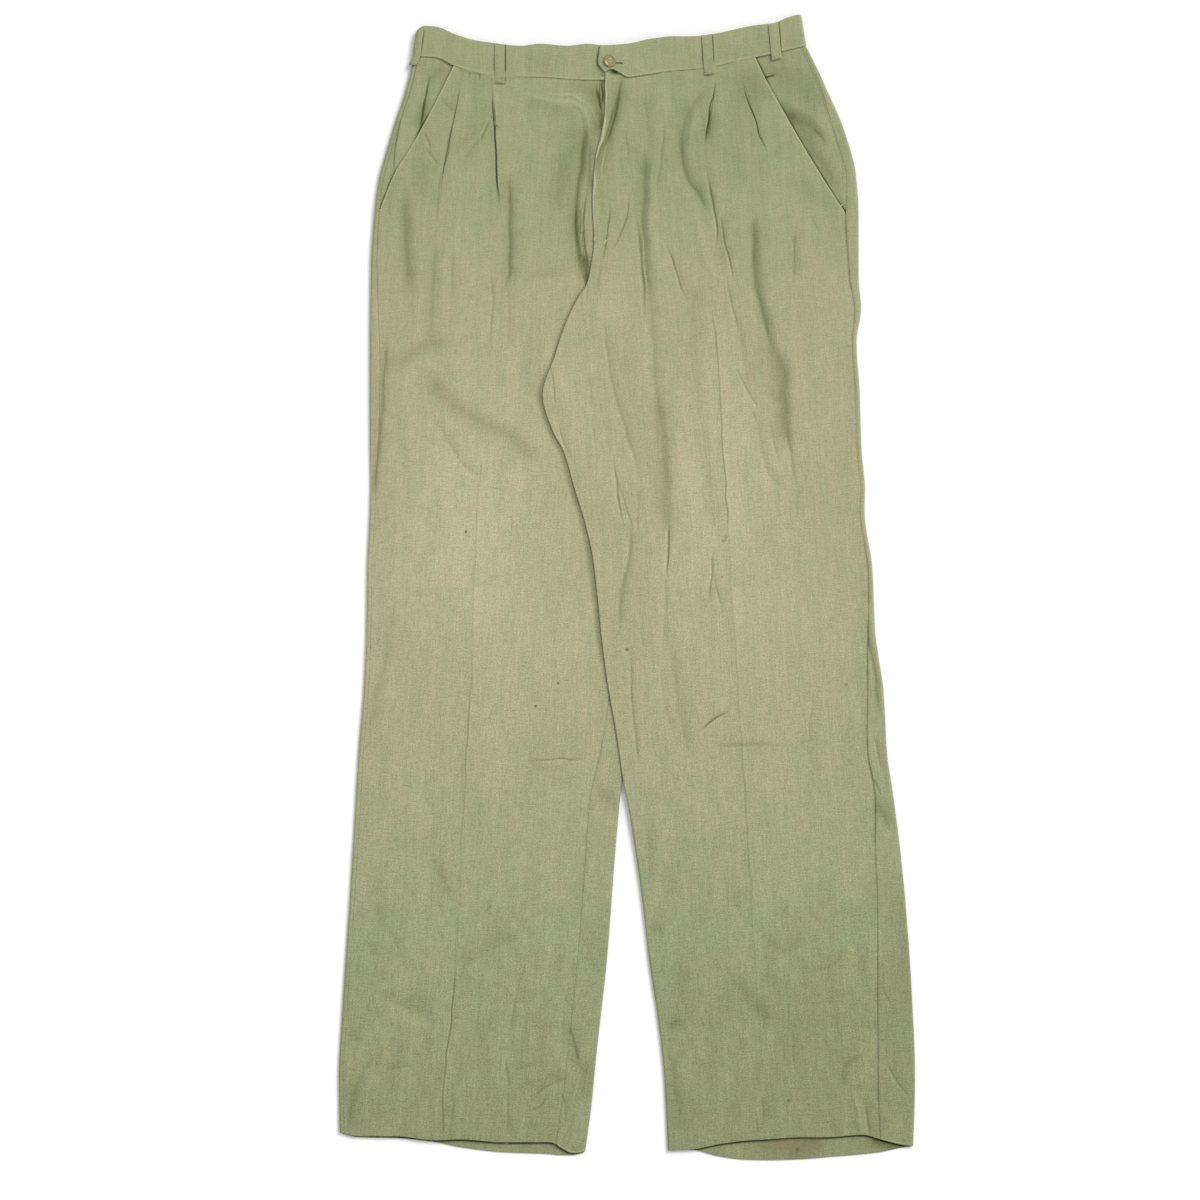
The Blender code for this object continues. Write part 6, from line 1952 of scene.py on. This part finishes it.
# The linen's noises: cells to the metre across and along the cloth, and how finely they are detailed.
LINEN_NOISES = {
    "warp": (640, 70, 2), "weft": (80, 640, 2), "slub": (230, 12, 3), "cloud": (60, 14, 3),
    "grain": (760, 760, 2), "patches": (34, 30, 3), "smudges": (75, 60, 3), "tint": (90, 70, 5, 0.75),
    "blush": (26, 22, 2),
}
# How much of each noise goes into the green-to-beige share, the threads, the lightness and the redness.
INTO_BEIGE = {"slub": 0.38, "cloud": 0.4, "patches": 0.25}
THREADS = {"warp": 0.40, "weft": 0.36, "grain": 1.1}
LIGHTNESS = {"slub": 0.05, "smudges": 0.07}
REDNESS = {"tint": 0.2, "blush": 0.14}


def mixed(tree, noises, amounts):
    """Some of the noises, as offsets about 0."""
    return [centred(tree, noises[name], amount) for name, amount in amounts.items()]


def linen_colour(tree, weave, noises):
    """Beige in patches and uneven thread by thread, before the painted shade of its creases is drawn."""
    ramp = tree.nodes.new("ShaderNodeValToRGB")
    for n, (at, colour) in enumerate(LINEN_RAMP):
        stop = ramp.color_ramp.elements[n] if n < 2 else ramp.color_ramp.elements.new(at)
        stop.position = at
        stop.color = colour
    tree.links.new(total(tree, named(tree, "fade"), *mixed(tree, noises, INTO_BEIGE)), ramp.inputs[0])
    height = node(tree, "ShaderNodeSeparateXYZ", None, Vector=weave).outputs[1]
    coarse = node(tree, "ShaderNodeMapRange", None, Value=height, n1=0.48, n2=-0.4, n3=0.74, n4=1.27)
    threads = product(tree, total(tree, *mixed(tree, noises, THREADS)), coarse.outputs[0])
    light = total(tree, 1.0, threads, *mixed(tree, noises, LIGHTNESS))
    red = total(tree, 1.0, total(tree, *mixed(tree, noises, REDNESS)))
    hue = node(tree, "ShaderNodeCombineColor", None, Red=red, Green=1.0, Blue=1.0).outputs[0]
    return tinted(tree, tinted(tree, ramp.outputs[0], hue), light)


def with_painted_shading(tree, colour, tone):
    """Painted shade in the creases, twice over where the shading passes 1, and a painted highlight on ridges.
    """
    shade_colour = tinted(tree, colour, SHADE_TINT)
    highlight_colour = blend_colours(tree, 0.5, colour, HIGHLIGHT_TINT)
    colour = blend_colours(tree, tone, colour, shade_colour)
    beyond = math_node(tree, "SUBTRACT", tone, 1.0, True)
    colour = blend_colours(tree, beyond, colour, tinted(tree, shade_colour, DEEPER_SHADE_TINT))
    return blend_colours(tree, product(tree, tone, -1.0, True), colour, highlight_colour)


def linen_material(name):
    """Slubby plain-weave linen: uneven threads both ways, beige patches, and painted shade in its creases."""
    material, tree, shader = new_material("linen_" + name)
    weave = named(tree, "weave", "Vector")
    noises = {
        noise_name: stretched_noise(tree, weave, (across, along, 0), *detail)
        for noise_name, (across, along, *detail) in LINEN_NOISES.items()
    }
    warp, weft, slub = noises["warp"], noises["weft"], noises["slub"]
    colour = with_painted_shading(tree, linen_colour(tree, weave, noises), summed_painted_shading(tree, weft))
    if name in SPOTS:
        colour = spots_over(tree, colour, SPOTS[name])
    relief = total(tree, warp, product(tree, weft, 0.8), product(tree, slub, 0.6))
    cover(tree, shader, colour, relief, 0.5, 0.00028)
    roughen(tree, shader, warp, 0.8, 0.95)
    shader.inputs["Sheen Weight"].default_value = 0.18
    shader.inputs["Sheen Roughness"].default_value = 0.45
    shader.inputs["Specular IOR Level"].default_value = 0.3
    return material


def thread_material():
    material, tree, shader = new_material("sewing_thread")
    twist = stretched_noise(tree, position(tree), (2600, 2600, 2600))
    colour = blend_colours(tree, twist, srgb(150, 156, 112), srgb(196, 194, 152))
    cover(tree, shader, colour, twist, 0.5, 0.0001)
    shader.inputs["Roughness"].default_value = 0.7
    shader.inputs["Sheen Weight"].default_value = 0.15
    return material


def horn_material():
    """A tan, mottled button with a soft polish."""
    material, tree, shader = new_material("horn")
    cloud = stretched_noise(tree, position(tree), (420, 200, 300), 4, 0.7)
    flecks = stretched_noise(tree, position(tree), (1500, 700, 900))
    colour = blend_colours(tree, cloud, srgb(112, 98, 64), srgb(178, 166, 120))
    flecked = product(tree, centred(tree, flecks, 3.0), 1.0, True)
    colour = blend_colours(tree, flecked, colour, srgb(96, 78, 46))
    cover(tree, shader, colour, flecks, 0.25, 0.0001)
    roughen(tree, shader, cloud, 0.28, 0.45)
    shader.inputs["Coat Weight"].default_value = 0.3
    shader.inputs["Coat Roughness"].default_value = 0.2
    return material


def woven_material(name, dark, light):
    """Plain woven tape or pocketing."""
    material, tree, shader = new_material(name)
    warp = stretched_noise(tree, position(tree), (1800, 90, 0))
    weft = stretched_noise(tree, position(tree), (90, 1800, 0))
    threads = product(tree, total(tree, warp, weft), 0.5)
    cover(tree, shader, blend_colours(tree, threads, dark, light), threads, 0.5, 0.0002)
    shader.inputs["Roughness"].default_value = 0.9
    return material


def brass_material():
    material, tree, shader = new_material("antique_brass")
    tarnish = stretched_noise(tree, position(tree), (500, 500, 500), 4, 0.7)
    colour = blend_colours(tree, tarnish, srgb(120, 98, 58), srgb(186, 160, 104))
    tree.links.new(colour, shader.inputs["Base Color"])
    roughen(tree, shader, tarnish, 0.3, 0.6)
    shader.inputs["Metallic"].default_value = 1.0
    return material


def dress_hidden_nodes(brass):
    """The pieces inside, which keep their frame shapes."""
    pocketing = woven_material("pocketing", srgb(176, 170, 148), srgb(214, 208, 186))
    tape = woven_material("zip_tape", srgb(112, 120, 84), srgb(146, 152, 112))
    shield = woven_material("shield_linen", srgb(140, 147, 104), srgb(176, 178, 138))
    looks = {
        "pocket_bag_right": pocketing, "pocket_bag_left": pocketing, "zip": tape, "fly_shield": shield,
        "zip_slider": brass,
    }
    for name, material in looks.items():
        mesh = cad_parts[name].data
        mesh.materials.clear()
        mesh.materials.append(material)


# ---- stage ----

FRAME_WIDTH = 1.2              # metres across the picture at the surface
LENS = 240.0
SENSOR = 36.0
CENTRE = (-0.027, -0.0125)     # of the picture
FLOOR_HALF = 6.0
FLOOR_DROP = 0.0003            # a hair under the cloth, so that the two don't share a plane


def build_stage():
    mesh = bpy.data.meshes.new("floor")
    half = FLOOR_HALF
    corners = [(x, y, -FLOOR_DROP) for x, y in ((-half, -half), (half, -half), (half, half), (-half, half))]
    mesh.from_pydata(corners, [], [(0, 1, 2, 3)])
    floor = add_object("floor", mesh)
    material, _, shader = new_material("pale_floor")
    shader.inputs["Base Color"].default_value = (0.96, 0.96, 0.96, 1)
    shader.inputs["Roughness"].default_value = 0.9
    mesh.materials.append(material)


AMBIENT = 0.64
KEY = 2.1
KEY_SPREAD = math.radians(28)


def build_lights():
    """A large soft key from the upper right, and an even fill from all round."""
    world = bpy.data.worlds.new("soft")
    world.use_nodes = True
    background = world.node_tree.nodes["Background"]
    background.inputs[0].default_value = (1, 1, 1, 1)
    background.inputs[1].default_value = AMBIENT
    bpy.context.scene.world = world
    data = bpy.data.lights.new("key", "SUN")
    data.energy = KEY
    data.angle = KEY_SPREAD
    add_object("key", data).rotation_euler = KEY_FROM.to_track_quat("Z", "Y").to_euler()


def build_camera():
    data = bpy.data.cameras.new("camera")
    data.lens = LENS
    data.sensor_width = SENSOR
    camera = add_object("camera", data)
    camera.location = (*CENTRE, FRAME_WIDTH * LENS / SENSOR)
    bpy.context.scene.camera = camera
    bpy.context.scene.view_settings.view_transform = "Standard"


# ---- the cloth's cut ----

Cut = namedtuple("Cut", "node wide long area held rests")
CUTS = table(
    Cut,
    ("front_right", 0.300, 1.130, 0.236, "laid", ("cloth_back_right",)),
    ("front_left", 0.330, 1.130, 0.277, "laid", ("cloth_back_left", "cloth_front_right")),
    ("back_right", 0.420, 1.130, 0.338, "laid", ()),
    ("back_left", 0.400, 1.130, 0.298, "laid", ("cloth_back_right",)),
    ("waistband_right", 0.430, 0.036, 0.0141, "laid", ("cloth_back_right",)),
    ("waistband_left", 0.430, 0.036, 0.0137, "laid", ("cloth_back_left",)),
    ("pocket_facing_right", 0.075, 0.165, 0.0065, "laid", ("pocket_bag_right",)),
    ("pocket_facing_left", 0.080, 0.170, 0.0091, "laid", ("pocket_bag_left",)),
)


def main():
    thread = thread_material()
    pieces = {**build_panels(), **build_facings(), **build_waistband(), **build_loops()}
    build_stitching(thread)
    build_button(horn_material(), thread)
    dress_hidden_nodes(brass_material())
    build_stage()
    build_lights()
    build_camera()


main()
